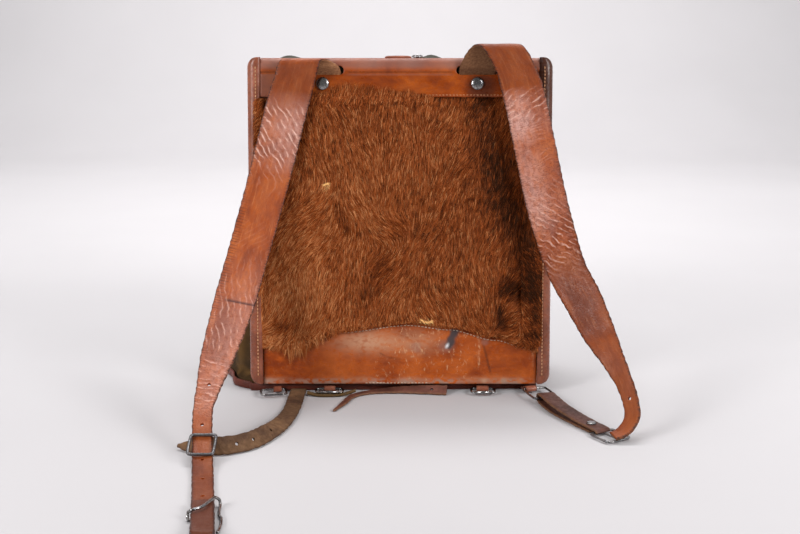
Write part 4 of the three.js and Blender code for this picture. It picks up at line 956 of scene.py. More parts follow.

# %% [markdown]
# How light a strand is comes from four things: its own luck, its lock's luck, slow drifts over the panel,
# and painted shade in the hollows and beside the right strap, where the hair is also darker. Near the worn
# spots a painted glint makes the strands golden. The ribbon's width is square to its run and rolled by a
# random angle, so that each catches the light a little differently, as round hairs do.

# %% Strand meshes
# Each painted shade, beside the right strap also darker hair: from u, v to u, v, then its width and how
# much darker it is.
SHADES = [(90, 330, 104, 262, 25, 0.34), (104, 262, 126, 195, 27, 0.40), (126, 195, 146, 140, 25, 0.41),
          (122, 116, 156, 108, 17, 0.48), (113, 90, 117, 74, 10, 0.40), (-134, 73, -122, 69, 9, 0.34),
          (-60, 180, -72, 208, 5, 0.22), (-20, 146, -40, 102, 13, 0.14), (-122, 304, -140, 318, 18, 0.26),
          (-154, 90, -154, 160, 6, 0.16), (150, 60, 156, 130, 13, 0.40), (20, 118, 60, 108, 16, 0.08),
          (144, 142, 150, 104, 15, 0.58)]
# How much the painted glint lightens the strands in the worn spots.
PAINTED_GLINT = 0.9


def strand_tone(u, v, i, j):
    """Lightness from 0 to 1: a middle value, drifts, lock luck and strand luck, less the painted shades,
    plus a painted glint in the worn spots.
    """
    value = 0.53 + 0.07 * np.sin(u / 47 + 1.1 * np.sin(v / 61)) * np.sin(v / 53 + 0.8)
    value += 0.24 * smooth(-u, 30, 120) * (1 - smooth(v, 90, 210))
    value += 0.26 * (cell_noise(i, j, 3) - 0.5) + random.normal(0, 0.2, len(u))
    shade = [dark * bell(beside(u, v, u0, v0, u1, v1) / width) for u0, v0, u1, v1, width, dark in SHADES]
    value = np.clip(value - np.max(shade, 0), 0.02, 0.92)
    for spot_u, spot_v, long, wide_v, _ in BALD:
        value += PAINTED_GLINT * bell(np.hypot((u - spot_u) / long, (v - spot_v) / (wide_v + 1)))
    return np.clip(value, 0.02, 0.99)


def strand_mesh(name, part):
    """Ribbons: half the width to both sides at the root and the middle, one point at the tip."""
    line = on_panel(strand_u[part], strand_v[part], strand_w[part])
    count = len(line)
    run = unit(np.gradient(line, axis=1))
    roll = random.normal(0, 0.5, (count, 1, 1))
    level = unit(np.cross(run, OUT))
    side = level * np.cos(roll) + np.cross(run, level) * np.sin(roll)
    half = side * STRAND_WIDTH[:, None] * random.uniform(0.4, 0.7, (count, 1, 1))
    points = np.concatenate([(line - half)[:, :2], (line + half)[:, :2], line[:, 2:]], 1)
    one = np.array([[0, 1, 3], [0, 3, 2], [1, 4, 3]])
    faces = (np.arange(count)[:, None, None] * 5 + one).reshape(-1, 3)
    light = strand_tone(strand_u[part][:, 1], strand_v[part][:, 1], lock_i[part], lock_j[part])
    along = np.tile([0.01, 0.5, 0.01, 0.5, 0.99], (count, 1))
    uv = np.stack([np.repeat(light[:, None], 5, 1), along], -1)
    return make_piece(name, points, [faces], fur_finish, "fur", uv=uv, uv_name="OFBake")


strand_u, strand_v, strand_w, lock_i, lock_j = (np.concatenate(rows) for rows in zip(*strand_sets))
quarter = np.digitize(strand_u[:, 0], [-77, 0, 77])
for number in range(4):
    strand_mesh(f"fur_strands_{number + 1}", quarter == number)
print("strand triangles:", sum(n for k, n in made_triangles.items() if k.startswith("fur_strands")))

# %% [markdown]
# Slots, buckle holes and an eyelet go right through the leather and the canvas. A dark spot in the finish
# could stand for them, but a boolean cut gives a hole its walls, and a real hole shows its thickness.

# %% Cutting holes
def punch(piece, cutters):
    """Cuts closed shapes, each two rings joined by a skin, out of a piece and keeps the result."""
    for rings in cutters:
        mesh = bpy.data.meshes.new("cutter")
        faces = [f for group in tube_faces(*rings.shape[:2]) for f in group.tolist()]
        mesh.from_pydata((rings * MM).reshape(-1, 3).tolist(), [], faces)
        cutter = bpy.data.objects.new("cutter", mesh)
        bpy.context.scene.collection.objects.link(cutter)
        step = piece.modifiers.new("hole", "BOOLEAN")
        step.operation = "DIFFERENCE"
        step.solver = "EXACT"
        step.object = cutter
        bpy.context.view_layer.update()
        cut = bpy.data.meshes.new_from_object(piece.evaluated_get(bpy.context.evaluated_depsgraph_get()))
        piece.modifiers.clear()
        old = piece.data
        name = old.name
        piece.data = cut
        bpy.data.meshes.remove(old)
        cut.name = name
        bpy.data.objects.remove(cutter)
        bpy.data.meshes.remove(mesh)


CYLINDER_SIDES = 20


def cylinder(centre, axis, radius, length):
    """Rings of a closed cylinder about a centre: a circle at each end of its axis."""
    axis = unit(np.asarray(axis, float))
    first = unit(np.cross(axis, [0.31, 0.77, 0.55]))
    second = np.cross(axis, first)
    angle = around(CYLINDER_SIDES)[:, None]
    circle = radius * (np.cos(angle) * first + np.sin(angle) * second)
    return np.stack([centre - axis * length / 2 + circle, centre + axis * length / 2 + circle])


print("punch ready")

# %% [markdown]
# The top band is a strip of leather: up the face, over a roll at the panel's edge, and back along the top.
# Its section is a profile of two lines and an arc, carried from side to side with a slight waviness. A
# bevelled box would look too even: here the section and the waves are one formula.

# %% Top band
LEATHER = 2.5
BAND_FACE, BAND_ROLL, BAND_BACK = 3.0, 9.0, 22.0
SLOT_MIDDLE, SLOT_WIDTH, SLOT_LOW, SLOT_HIGH = 86.0, 47.0, 351.5, 361.5
CREASE_HEIGHT = 354.0


def half_leather(share):
    """Half the thickness, falling in a quarter circle to nothing where the share of the way in is zero."""
    return LEATHER / 2 * np.sqrt(1 - (1 - np.clip(share, 0, 1)) ** 2)


def band_section():
    """Middle line of the strip as (w, v) and its outward normals: a face, a quarter roll and a flat top."""
    radius = BAND_ROLL - LEATHER / 2
    centre_w, centre_v = BAND_FACE + LEATHER - BAND_ROLL, PANEL_LENGTH - BAND_ROLL
    angle = np.linspace(0, np.pi / 2, 16)
    rise = np.linspace(BAND_LOW, centre_v, 24, endpoint=False)
    face = np.stack([np.full(24, centre_w + radius), rise], 1)
    turn = np.stack([np.cos(angle), np.sin(angle)], 1)
    top = np.stack([np.linspace(centre_w, centre_w - BAND_BACK, 12)[1:], np.full(11, centre_v + radius)], 1)
    normal = np.concatenate([np.tile([1, 0], (24, 1)), turn, np.tile([0, 1], (11, 1))])
    return np.concatenate([face, [centre_w, centre_v] + radius * turn, top]), normal


middle, normal = band_section()
band_u = np.linspace(-PANEL_INNER - 0.6, PANEL_INNER + 0.6, 200)
u, k = np.meshgrid(band_u, np.arange(len(middle)), indexing="ij")
height = middle[k][..., 1]
on_face = middle[k][..., 0] > 0
half = half_leather((np.minimum(k, len(middle) - 1 - k) + 0.25) / 1.3)
wave = 0.25 * np.sin(u / 21 + 1) + 0.2 * np.sin(u / 9 + height / 12)
wave *= smooth(height, BAND_LOW, BAND_LOW + 8) * on_face
away = smooth(np.abs(np.abs(u) - SLOT_MIDDLE), 23, 34)
groove = -0.7 * bell((height - CREASE_HEIGHT) / 1.6) * away
rise = wave * 0.5 + np.where(normal[k][..., 0] > 0.9, groove, 0)


def band_side(offset):
    """Points of one side of the strip, offset along the section's normal."""
    at = middle[k] + normal[k] * offset[..., None]
    return on_panel(u, at[..., 1], at[..., 0])


# The first mark below darkens: painted shade in the crease and round the right rivet, the face below the
# roll, and a patch left of the left strap. The second lightens: a painted highlight along the roll and just
# below the crease, and the same patch.
halo = np.hypot(u - SLOT_MIDDLE - 4, height - 338)
patch = smooth(-u, 112, 122) * (height < CREASE_HEIGHT - 1)
roll = smooth(height, 355, 362) * (1 - 0.6 * smooth(normal[k][..., 1], 0.75, 1.0))
band_dark_and_shade = np.max([0.55 * bell((height - CREASE_HEIGHT - 0.6) / 1.2) * (groove < -0.2),
                    0.7 * (1 - smooth(halo, 8, 26)) * on_face,
                    0.2 * (1 - smooth(height, 354, 360)) * on_face, 0.3 * patch], 0)
band_dust_and_highlight = np.max([0.74 * roll * (0.85 + 0.15 * np.sin(u / 11 + 2 * np.sin(u / 37))),
                     0.35 * bell(height - CREASE_HEIGHT + 1.8) * away, 0.4 * patch], 0)
top_band = wall_piece("top_band_leather", band_side(half + rise), band_side(-half), band_finish,
                      "band_leather", "top_band", marks={"dark": band_dark_and_shade, "dust_and_highlight": band_dust_and_highlight})


def slot_cutter(side):
    """A box through the band's face with round ends, as a ring carried through."""
    angle = around(28)
    high, middle_v = (SLOT_HIGH - SLOT_LOW) / 2, (SLOT_HIGH + SLOT_LOW) / 2
    reach = SLOT_WIDTH / 2 - high
    ring_u = side * SLOT_MIDDLE + np.sign(np.cos(angle)) * reach + high * np.cos(angle)
    ring_v = middle_v + high * np.sin(angle)
    return np.stack([on_panel(ring_u, ring_v, -6.0), on_panel(ring_u, ring_v, 12.0)])


punch(top_band, [slot_cutter(-1), slot_cutter(1)])
print("top band faces:", len(top_band.data.polygons))

# %% [markdown]
# The bottom band is a thin wall between the panel's foot and the arch. Its stains are painted as numbers on
# its grid: rubbed pale in the middle left, a dark greasy smear to the right with a painted white glint at
# its lower end, scuffs along the lower edge, and painted shade in a crease.

# %% Bottom band
BOTTOM_FACE, BOTTOM_LOW = 0.3, 3.8
# Each score in the leather: from u, v to u, v, then its width and strength.
SCORES = [(17, 53, 27, 39.5, 1.8, 0.9), (27, 39.5, 12.5, 35, 1.8, 0.8), (18, 50, 17, 41, 1.6, 0.6),
          (88.4, 61, 90, 44, 1.5, 0.9), (90, 44, 89.4, 26, 1.7, 0.9), (24, 60, 29, 60.5, 1.4, 0.7),
          (34, 61.5, 38, 62, 1.4, 0.8), (41, 43, 42.5, 36, 1.3, 0.5), (4, 46, 6, 40, 1.4, 0.6),
          (66, 60, 68, 63.5, 1.2, 0.7), (72, 58.5, 74, 62, 1.2, 0.6), (58, 38, 60, 30, 1.2, 0.5),
          (150.5, 42, 151, 24, 1.2, 0.6), (-6, 56, -2, 50, 1.4, 0.5), (8, 62, 11, 56, 1.3, 0.6)]
# Each pale patch: u, v, its half sizes across and up, its even core's share, and its strength. The first
# is a painted highlight beside the glint.
DUST_AND_HIGHLIGHT = [(52, 47, 13, 10, 0.2, 0.55), (96, 52, 6, 6, 0.3, 0.5), (18, 46, 9, 9, 0.3, 0.45)]
u, t = np.meshgrid(np.linspace(-PANEL_INNER, PANEL_INNER, 270), np.linspace(0, 1, 52), indexing="ij")
arch = arch_at(u)
v = BOTTOM_LOW + (arch - BOTTOM_LOW) * t
rim = np.minimum(v - BOTTOM_LOW, arch - v)
half = half_leather((rim + 0.35) / 1.4)
ripple = (0.25 * np.sin(u / 17 + v / 31) + 0.2 * np.sin(u / 7.3 - v / 13 + 2)) * smooth(rim, 1, 6)
bottom_w = BOTTOM_FACE + LEATHER / 2
worn = 0.9 * bell((u + 36) / 44) * bell((v - 52) / 15) + 0.45 * bell((u - 22) / 30) * bell((v - 52) / 16)
worn += 0.35 * bell((v - 9) / 4) * (0.5 + 0.5 * np.sin(u / 13 + 1.3 * np.sin(u / 37)))
worn += 0.8 * bell((v - 7) / 4) * (bell((u - 96) / 4) + bell((u - 118) / 6) + bell((u - 136) / 4))
smear_line = beside(u, v, 56, 49, 63, 66)
smear = 0.95 * (1 - smooth(smear_line + 0.8 * np.sin(v / 1.7) * np.sin(u / 2.3), 2.4, 6.4))
# A painted white glint at the lower end of the smear.
painted_gleam = 0.85 * (1 - smooth(np.hypot((u - 53.7 - 0.4 * (v - 48)) / 2.8, (v - 47.6) / 4.6), 0.0, 1.0))
dust_and_highlight = sum(strength * (1 - smooth(np.hypot((u - at_u) / wide_u, (v - at_v) / wide_v), core, 1.0))
            for at_u, at_v, wide_u, wide_v, core, strength in DUST_AND_HIGHLIGHT)
scored = np.zeros_like(u)
for u0, v0, u1, v1, width, strength in SCORES:
    scored = np.maximum(scored, strength * (1 - smooth(beside(u, v, u0, v0, u1, v1), 0.1 * width, width)))
scratched = 0.85 * smooth(u, -45, -20) * (1 - smooth(u, 70, 95)) + 0.12
scuff = 0.95 * (1 - smooth(v, 7, 12)) * (0.65 + 0.35 * np.sin(u / 8 + 2 * np.sin(u / 29)))
# The dark mark: a curved cut, painted shade along a crease near u = 92, and a darker strip just under the
# upper edge.
cut = np.minimum(beside(u, v, -22.5, 39.2, -13.6, 34.4), beside(u, v, -13.6, 34.4, -0.3, 32.4))
crease = np.abs(u - 92 - 0.25 * (60 - v))
dark = 0.45 * (1 - smooth(cut, 0.3, 1.5)) * (0.7 + 0.3 * np.sin(u / 1.9))
dark += 0.5 * (1 - smooth(crease, 0.6, 2.0)) * smooth(v, 12, 20) * (1 - smooth(v, 44, 54))
dark = np.maximum(dark, 0.5 * (1 - smooth(arch - v, 0.4, 1.6)))
bottom_marks = {"worn": worn, "smear": smear, "scratched": scratched, "scored": scored, "scuff": scuff,
                "dark": dark, "dust_and_highlight": dust_and_highlight, "painted_gleam": painted_gleam}
wall_piece("bottom_band_leather", on_panel(u, v, bottom_w + half + ripple), on_panel(u, v, bottom_w - half),
           band_finish, "band_leather", "bottom_band",
           marks={key: np.clip(value, 0, 1) for key, value in bottom_marks.items()})
print("bottom band triangles:", made_triangles["bottom_band_leather"])

# %% [markdown]
# The bindings are leather rolled round the panel's side edges. The section is a hook: a thick comma that
# starts on the panel's face, rolls round the edge and ends behind. It is carried up the panel and drawn in
# at both ends, which rounds the corners.

# %% Bindings
# The section's middle line: out from the panel's middle, and forward of it.
BINDING_LINE = [(156.4, 3.0), (156.5, 5.3), (158.2, 6.6), (161.9, 7.1), (165.7, 5.9), (168.2, 3.0),
                (169.1, -1.0), (168.0, -4.9), (165.6, -7.5)]
BINDING_ROUND, BINDING_LOW, BINDING_INNER = 12.0, 4.5, 155.2
SIDES = ((-1, "left"), (1, "right"))


def uneven(v, side):
    """How far a binding's face wavers forward: two sines along it."""
    return 0.35 * np.sin(v / 19 + side) + 0.2 * np.sin(v / 7.7)


def binding_rings(side):
    """Rings of the rolled leather: the middle line offset to both sides, scaled in towards both ends."""
    at = np.linspace(0, len(BINDING_LINE) - 1, 40)
    line, run = through(np.c_[BINDING_LINE, np.zeros(len(BINDING_LINE))], at)
    across = np.stack([-run[:, 1], run[:, 0]], 1)
    half = across * half_leather(np.minimum(at, at[-1] - at) / 0.5 + 0.2)[:, None]
    ring = np.concatenate([line[:, :2] + half, (line[:, :2] - half)[::-1]])
    ends = BINDING_ROUND * (1 - np.cos(np.linspace(0, np.pi / 2, 12)))
    v = np.concatenate([BINDING_LOW + ends, PANEL_LENGTH - ends[::-1]])
    v = np.insert(v, 12, np.linspace(v[11], v[12], 100)[1:-1])
    end = np.minimum(v - BINDING_LOW, PANEL_LENGTH - v)
    share = np.clip(1 - end / BINDING_ROUND, 0, 1)
    drawn = 1 - 0.55 * (1 - np.sqrt(1 - share ** 2))
    u = BINDING_INNER + (ring[None, :, 0] - BINDING_INNER) * drawn[:, None]
    w = ring[None, :, 1] * (0.7 + 0.3 * drawn[:, None])
    w = w + (uneven(v, side) * smooth(end, 4, 20))[:, None] * (ring[None, :, 1] > 4)
    return on_panel(side * u, v[:, None], w)


for side, name in SIDES:
    rings = binding_rings(side)
    # The right binding is painted darker, more so towards the top.
    darker_upward = 0.26 + 0.54 * smooth(np.linspace(0, 1, len(rings)), 0.45, 0.9)
    tube_piece(f"{name}_binding_roll", rings, binding_finish, "binding_leather", [f"{name}_binding"],
               marks={"edge": np.repeat(darker_upward * (side > 0), rings.shape[1])})
print("binding triangles:", made_triangles["left_binding_roll"])

# %% [markdown]
# A strap is a flat profile with rounded edges, carried through stations that give its place, its width and
# the turn of its width about the upright. The same stations shaped the solid. What is new here is the
# surface: a soft waviness, nicks along the edges, and marks that tell the finish which side is grain, where
# the edges are and how worn each stretch is.

# %% Strap maker
STRAP_LEATHER, STRAP_WIDTH = 3.0, 46.0


def strap_frames(stations, at):
    """Place, run, width direction, facing and width at fractional stations.
    The width direction turns about the upright, is tilted out of the level and, where square is 1, is made
    square to the run."""
    rows = np.asarray(stations, float)
    line, run = through(rows[:, :3], at)
    width, turn, square, tilt = (np.interp(at, np.arange(len(rows)), rows[:, k]) for k in (3, 4, 5, 6))
    angle, lift = np.radians(turn), np.radians(tilt)
    side = np.stack([np.cos(angle) * np.cos(lift), np.sin(angle) * np.cos(lift), np.sin(lift)], 1)
    side = unit(side - run * np.sum(side * run, 1, keepdims=True) * square[:, None])
    return line, run, side, unit(np.cross(run, side)), width


def rooted(panel_rows, ground_rows):
    """Stations: rows on the panel (u, v, w, width, turn), whose width stays level, then rows in frame."""
    first = np.asarray(panel_rows, float)
    root = np.c_[on_panel(*first[:, :3].T), first[:, 3:], np.zeros((len(first), 2))]
    return np.concatenate([root, free(ground_rows)])


def free(ground_rows):
    """Stations from rows in the frame (x, y, z, width, turn and, where given, tilt), square to the run."""
    rows = np.asarray(ground_rows, float)
    tilt = rows[:, 5] if rows.shape[1] > 5 else np.zeros(len(rows))
    return np.c_[rows[:, :5], np.ones(len(rows)), tilt]


def flat_profile(points_across):
    """Ring of (s, x, y): s along the flat from -1 to 1, and the round edges as (x, y) on a half circle."""
    s = np.linspace(-1, 1, points_across)
    arc = np.linspace(0, np.pi, 6)[1:-1]
    top = np.stack([s, 0 * s, 0 * s + 1], 1)
    right = np.stack([0 * arc + 1, np.sin(arc), np.cos(arc)], 1)
    left = np.stack([0 * arc - 1, -np.sin(arc), -np.cos(arc)], 1)
    return np.concatenate([top, right, np.stack([s[::-1], 0 * s, 0 * s - 1], 1), left])


def strap_rings(stations, thickness, step, points_across=19, wave=0.3):
    """Rings, UV (metres across and along) and marks of a strap through its stations. The surface has a soft
    waviness: two crossed sines along and across the strap, strongest in the middle."""
    count = len(stations)
    rough = np.linspace(0, count - 1, 40 * count)
    far = row_length(through(np.asarray(stations)[:, :3], rough)[0])
    at = np.interp(np.linspace(0, far[-1], max(int(far[-1] / step), 12)), far, rough)
    line, _, side, facing, width = strap_frames(stations, at)
    along = row_length(line)[:, None]
    s, x, y = flat_profile(points_across).T[:, None, :]
    half = thickness / 2
    across = s * (width[:, None] / 2 - half) + x * half
    crossed = np.sin(along / 9 + across / 11) * np.sin(along / 23 - across / 14)
    swell = wave * (crossed + 0.4 * np.sin(along / 4.1))
    nick = 0.3 * np.sin(along / 1.9 + 2 * np.sin(along / 7)) * np.abs(x) * np.sign(s) * (wave > 0.1)
    lift = y * half + swell * (1 - s ** 6)
    points = line[:, None] + side[:, None] * (across + nick)[..., None] + facing[:, None] * lift[..., None]
    inset = width[:, None] / 2 - np.abs(across)
    ones = np.ones_like(across)
    rim = (1 - smooth(inset, 0.4, 1.9)) * (0.65 + 0.3 * np.sin(along / 1.3 + 1.7 * np.sin(along / 5)))
    marks = {"edge": np.clip(rim, 0, 1) * ones, "flesh": (y < -0.2) * ones, "stain": 0 * ones,
             "rim": (1 - smooth(inset, 0.5, 3.6)) * ones}
    uv = np.stack([across, along * ones], -1) * MM
    return points, uv, marks, at


def zone(at, table, columns):
    """A mark that follows a table of station numbers and strengths along the strap."""
    return np.interp(at, *np.asarray(table, float).T)[:, None] * np.ones(columns)


def worn_strap(stations, wear_and_light):
    """A shoulder strap's rings, UV map, marks with its wear and painted light, stations, and share of the
    way across.
    """
    points, uv, marks, at = strap_rings(stations, STRAP_LEATHER, 1.5)
    marks.update({key: zone(at, table, uv.shape[1]) for key, table in wear_and_light.items()})
    return points, uv, marks, at, 0.5 + uv[..., 0] / MM / STRAP_WIDTH


def holes_at(stations, at, radius=1.9, length=9.0):
    """Cylinders square to the strap at the named stations."""
    line, _, _, facing, _ = strap_frames(stations, np.asarray(at, float))
    return [cylinder(place, axis, radius, length) for place, axis in zip(line, facing)]


print("strap maker ready")

# %% [markdown]
# The shoulder straps come out of the slots with the flesh side showing, fold over the top edge and hang
# down with the grain side out. The left one runs on over the ground to its hook, the right one curls into
# its buckle. The wear of each, with its painted shade and painted highlight, is a few short tables, one for
# each mark that the finish reads.

# %% Left shoulder strap
# Columns: u, v, w, width, turn on the panel, then x, y, z, width, turn.
LEFT_ROOT = [
    (-86, 337, 1, 42, 0), (-86, 348, 1, 42, 0), (-86.4, 354, 2, 42, 0), (-87.2, 357.2, 5, 42, 0),
    (-89, 360, 8.6, 42.5, 0), (-95, 364.4, 10.8, 43.5, -2), (-103, 367.2, 13.8, 45, -4),
    (-109, 366, 17.8, 46, -5), (-112, 360, 20, 46, -4), (-114.5, 350, 19.4, 46.5, -2),
]
LEFT_HANG = [
    (-125.2, -35.5, 320.6, 46.5, 0), (-136.4, -43.5, 276, 46.5, 2), (-147.5, -53.5, 233.5, 46, 4),
    (-155.3, -64.5, 204, 45.5, 5), (-164.3, -81, 170, 45, 6), (-176.8, -116, 120.5, 45, 6),
    (-183.2, -143, 95, 41, 5), (-189.2, -172, 71, 35, 4), (-193.6, -200, 50, 25, 3),
    (-195.6, -222, 36, 20, 2), (-193.4, -243, 24, 20, 0), (-190.4, -262, 13.4, 20, -4),
    (-187.4, -280, 6.4, 20, -8), (-183.6, -302, 2.4, 20, -10), (-171, -373.6, 2, 20, -10),
    (-160.6, -436, 2, 20, -10), (-159.6, -441.6, 2.8, 20, -10), (-159.2, -444, 5.2, 20, -10),
    (-159.6, -441.6, 7.6, 20, -10), (-160.6, -436, 7.6, 20, -10), (-164, -416, 5.6, 20, -10),
    (-171, -376, 5.5, 19, -10),
]
# Each mark's table: station number, then how strong the mark is there. The shade table is painted shade
# and the sheen table a painted highlight.
LEFT_WEAR_AND_LIGHT = {
    "wrinkle": [(0, 0), (9.8, 0), (10.1, 0.8), (10.4, 1), (11.3, 1), (11.6, 0.2), (12.4, 0),
                (14.3, 0.1), (15.2, 0.5), (16.6, 0.5), (16.9, 0), (17.2, 0.6), (18.6, 0.5), (19.4, 0)],
    "crackle": [(0, 0), (9.5, 0.2), (11.3, 0.4), (12, 0.1), (14, 0.2), (16, 0.7), (19, 0.7), (20, 0.2),
                (32, 0.1)],
    "painted_sheen": [(0, 0), (9.5, 0), (10, 0.4), (10.5, 0.7), (11.2, 0.4), (11.7, 0.05), (14, 0.05),
              (15.3, 0.35), (17.5, 0.45), (19, 0.3), (19.8, 0)],
    "shade": [(0, 0), (6, 0), (8, 0.5), (9.6, 0.45), (10.3, 0.15), (11, 0.05), (14, 0), (17, 0.1),
              (19.3, 0.25), (20.2, 0.5), (21.4, 0.55), (23, 0.65), (25, 0.85), (26.5, 0.97)],
    "slant": [(0, 0.8), (11.8, 0.8), (14, 1.25), (16.8, 1.25), (17, 0.15)],
}
LEFT_TICKS = [(12.4, 0), (13.2, 0.9), (15.2, 0.9), (16.4, 0.3), (17.4, 0.8), (19, 0.6), (20, 0)]
LEFT_HOLES = [17.9, 19.9, 22.15, 23.3, 23.8]
LEFT_FOLD, LEFT_GRAIN_UP = 15.05, 26
left_stations = rooted(LEFT_ROOT, LEFT_HANG)
points, uv, marks, at, share = worn_strap(left_stations, LEFT_WEAR_AND_LIGHT)
fold = 1 - smooth(np.abs(at - LEFT_FOLD)[:, None], 0.015, 0.05)
marks["stain"] = 0.85 * fold * (1 - marks["flesh"]) * smooth(share, 0.2, 0.4)
ticks = (1 - smooth(share, 0.05, 0.3)) * zone(at, LEFT_TICKS, uv.shape[1])
marks["rim"] = np.maximum(marks["rim"], ticks)
# The painted highlight grows across the strap, from one edge towards the other.
marks["painted_sheen"] *= 0.5 + 0.5 * smooth(share, 0.2, 0.7)
marks["flesh"] = np.where(at[:, None] > LEFT_GRAIN_UP, 0, marks["flesh"])
left_strap = tube_piece("left_strap_leather", points, strap_finish, "strap_leather", ["left_shoulder_strap"],
                        uv=uv, marks=marks)
punch(left_strap, holes_at(left_stations, LEFT_HOLES))
print("left strap length:", round(row_length(points[:, 9])[-1]), "mm")

# %% [markdown]
# The right strap is made in the same way. It stands higher where it folds over the top edge and swings out
# further, and its narrow end turns as it curls down into the buckle, so its stations carry more turn.

# %% Right shoulder strap
RIGHT_ROOT = [
    (86, 337, 1, 42, 0), (86, 348, 1, 42, 0), (86.2, 354, 2, 42, 0), (86.6, 357.2, 5, 42, 0),
    (87.6, 360, 8.6, 42.5, 0), (91, 367, 10.4, 44, 2), (97, 376, 11.6, 46, 4), (104, 382, 14.8, 48, 5),
    (110, 382, 19.8, 48, 5), (116, 376, 23.4, 47, 4), (123, 364, 23.8, 46, 3), (129.5, 350, 22, 46, 2),
]
RIGHT_HANG = [
    (137.4, -40.5, 329, 46, 0), (149, -51, 275, 46, -4), (160.4, -63.5, 221.2, 46, -14),
    (168.8, -73.5, 189.5, 46, -24), (181.6, -91.5, 148.6, 45, -32), (197, -112, 119.6, 43, -36),
    (210, -136.5, 91.8, 36, -36), (220.6, -161, 71, 26, -40), (230.2, -182.5, 50.2, 20, -48),
    (234.6, -198, 34, 19, -52), (234.4, -208, 22.4, 19, -56), (229, -214, 14, 19, -60),
    (221.6, -217.6, 8.6, 18, -62), (213.6, -219.4, 6, 17, -64),
]
RIGHT_WEAR_AND_LIGHT = {
    "wrinkle": [(0, 0), (11.5, 0), (11.8, 0.6), (12.2, 0.7), (12.5, 0.2), (13.4, 0.15), (14.3, 0.4),
                (14.9, 0.8), (15.6, 0.7), (16, 0.1), (17, 0)],
    "crackle": [(0, 0), (11.5, 0.2), (12, 0.8), (13, 0.7), (14.6, 1), (15.6, 0.6), (16.2, 0.15),
                (25, 0.1)],
    "painted_sheen": [(0, 0), (11.5, 0), (12, 0.6), (12.5, 1), (12.9, 0.3), (13.3, 0.5), (14.1, 0.75),
              (14.7, 0.5), (15.2, 0.05), (16, 0)],
    "shade": [(0, 0.6), (6, 0.6), (8, 0.55), (10, 0.5), (11.4, 0.42), (12.2, 0.05), (15.2, 0.05),
              (16, 0.4), (20, 0.4), (25, 0.5)],
    "slant": [(0, -0.45), (12.5, -0.45), (13.4, 0.8)],
}
RIGHT_HOLES = [20.8]
right_stations = rooted(RIGHT_ROOT, RIGHT_HANG)
points, uv, marks, at, share = worn_strap(right_stations, RIGHT_WEAR_AND_LIGHT)
# The painted highlight fades across the strap, from one edge towards the other.
marks["painted_sheen"] *= 1 - 0.75 * smooth(share, 0.3, 0.75)
right_strap = tube_piece("right_strap_leather", points, strap_finish, "strap_leather",
                         ["right_shoulder_strap"], uv=uv, marks=marks)
punch(right_strap, holes_at(right_stations, RIGHT_HOLES))
print("right strap length:", round(row_length(points[:, 9])[-1]), "mm")

# %% [markdown]
# The straps along the ground are the same profile in rough leather, narrower and thinner. Their edges are
# fuzzy with age, which the small nicks in the ring give.

# %% Lower straps
# Columns: x, y, z, width, turn, tilt.
LEFT_LOWER = [
    (-116, -58.6, 1.7, 18.4, 0, 0), (-116.4, -90, 1.7, 18.4, 0, 0), (-117.6, -128, 1.9, 18.4, -4, -2),
    (-120.4, -158, 3.4, 18.4, -10, -10), (-125.6, -188, 5.6, 18.4, -18, -26),
    (-133, -213, 7.8, 18.4, -32, -44), (-143.4, -234, 8.7, 18.4, -44, -55),
    (-158, -247, 8.7, 18.4, -58, -56), (-176, -253, 8.7, 18.4, -76, -56), (-195, -251, 8, 17, -94, -54),
    (-208.5, -245.6, 5.6, 11, -106, -50), (-218.6, -239.6, 3.8, 3.5, -110, -46),
]
BASE_STRAP = [
    (53, -71.4, 4.9, 13.5, 90, 32), (30, -68.4, 4.7, 13, 92, 32), (-6, -65, 3, 12, 94, 14),
    (-36, -69, 1.6, 10, 98, 0), (-53, -82, 1.6, 8, 140, 0), (-62, -106, 1.6, 7, 158, 0),
    (-71.5, -131, 1.6, 2.5, 158, 0),
]


def rough_strap(name, node, stations, thickness, finish, holes=()):
    """A strap in dark leather, with any punched holes, standing for its node."""
    points, uv, marks, _ = strap_rings(stations, thickness, 1.6, 11, 0.2)
    piece = tube_piece(name, points, finish, "dark_leather", [node], uv=uv,
                       marks={"edge": 0.7 * marks["edge"]})
    if holes:
        punch(piece, holes_at(stations, holes, 1.7, 8.0))


rough_strap("left_lower_leather", "left_lower_strap", free(LEFT_LOWER), LEATHER, suede_finish,
            [0.9, 4.8, 6.15, 7.1])
rough_strap("base_strap_leather", "base_strap", free(BASE_STRAP), LEATHER, faded_finish, [0.75])
print("lower straps made")

# %% [markdown]
# Wire pieces are round bars carried along rounded frames: straight sides and soft corners. A bevelled curve
# could do this too, but rings from arrays are a mesh at once, in place. The two buckles under the base have
# a roller, a short sleeve that turns on the outer bar.

# %% Wire frames
WIRE, ROLLER_RADIUS = 1.3, 2.1


def frame_line(half, length, rounding):
    """Ten points of a flat frame, half its width to each side, with one end's corners rounded as asked."""
    near, far, soft = -length / 2, length / 2, 3.0
    corners = np.array([
        (-half + soft, near), (0, near), (half - soft, near), (half, near + soft), (half, far - rounding),
        (half - rounding, far), (0, far), (-half + rounding, far), (-half, far - rounding),
        (-half, near + soft),
    ], float)
    return np.c_[corners[:, 0], -corners[:, 1], np.zeros(10)]


def laid(points, place, turn=0.0):
    """Points turned about the upright, against the clock seen from below, and moved to a place."""
    angle = np.radians(-turn)
    x = points[..., 0] * np.cos(angle) - points[..., 1] * np.sin(angle)
    y = points[..., 0] * np.sin(angle) + points[..., 1] * np.cos(angle)
    return np.stack([x, y, points[..., 2]], -1) + np.asarray(place, float)


def wire_frame(half, length, rounding, radius=WIRE):
    """Rings of a closed wire frame lying flat about the origin."""
    at = np.linspace(0, 10, 90, endpoint=False)
    line, run = through(frame_line(half, length, rounding), at, closed=True, tension=0.35)
    return bar(line, run, radius)


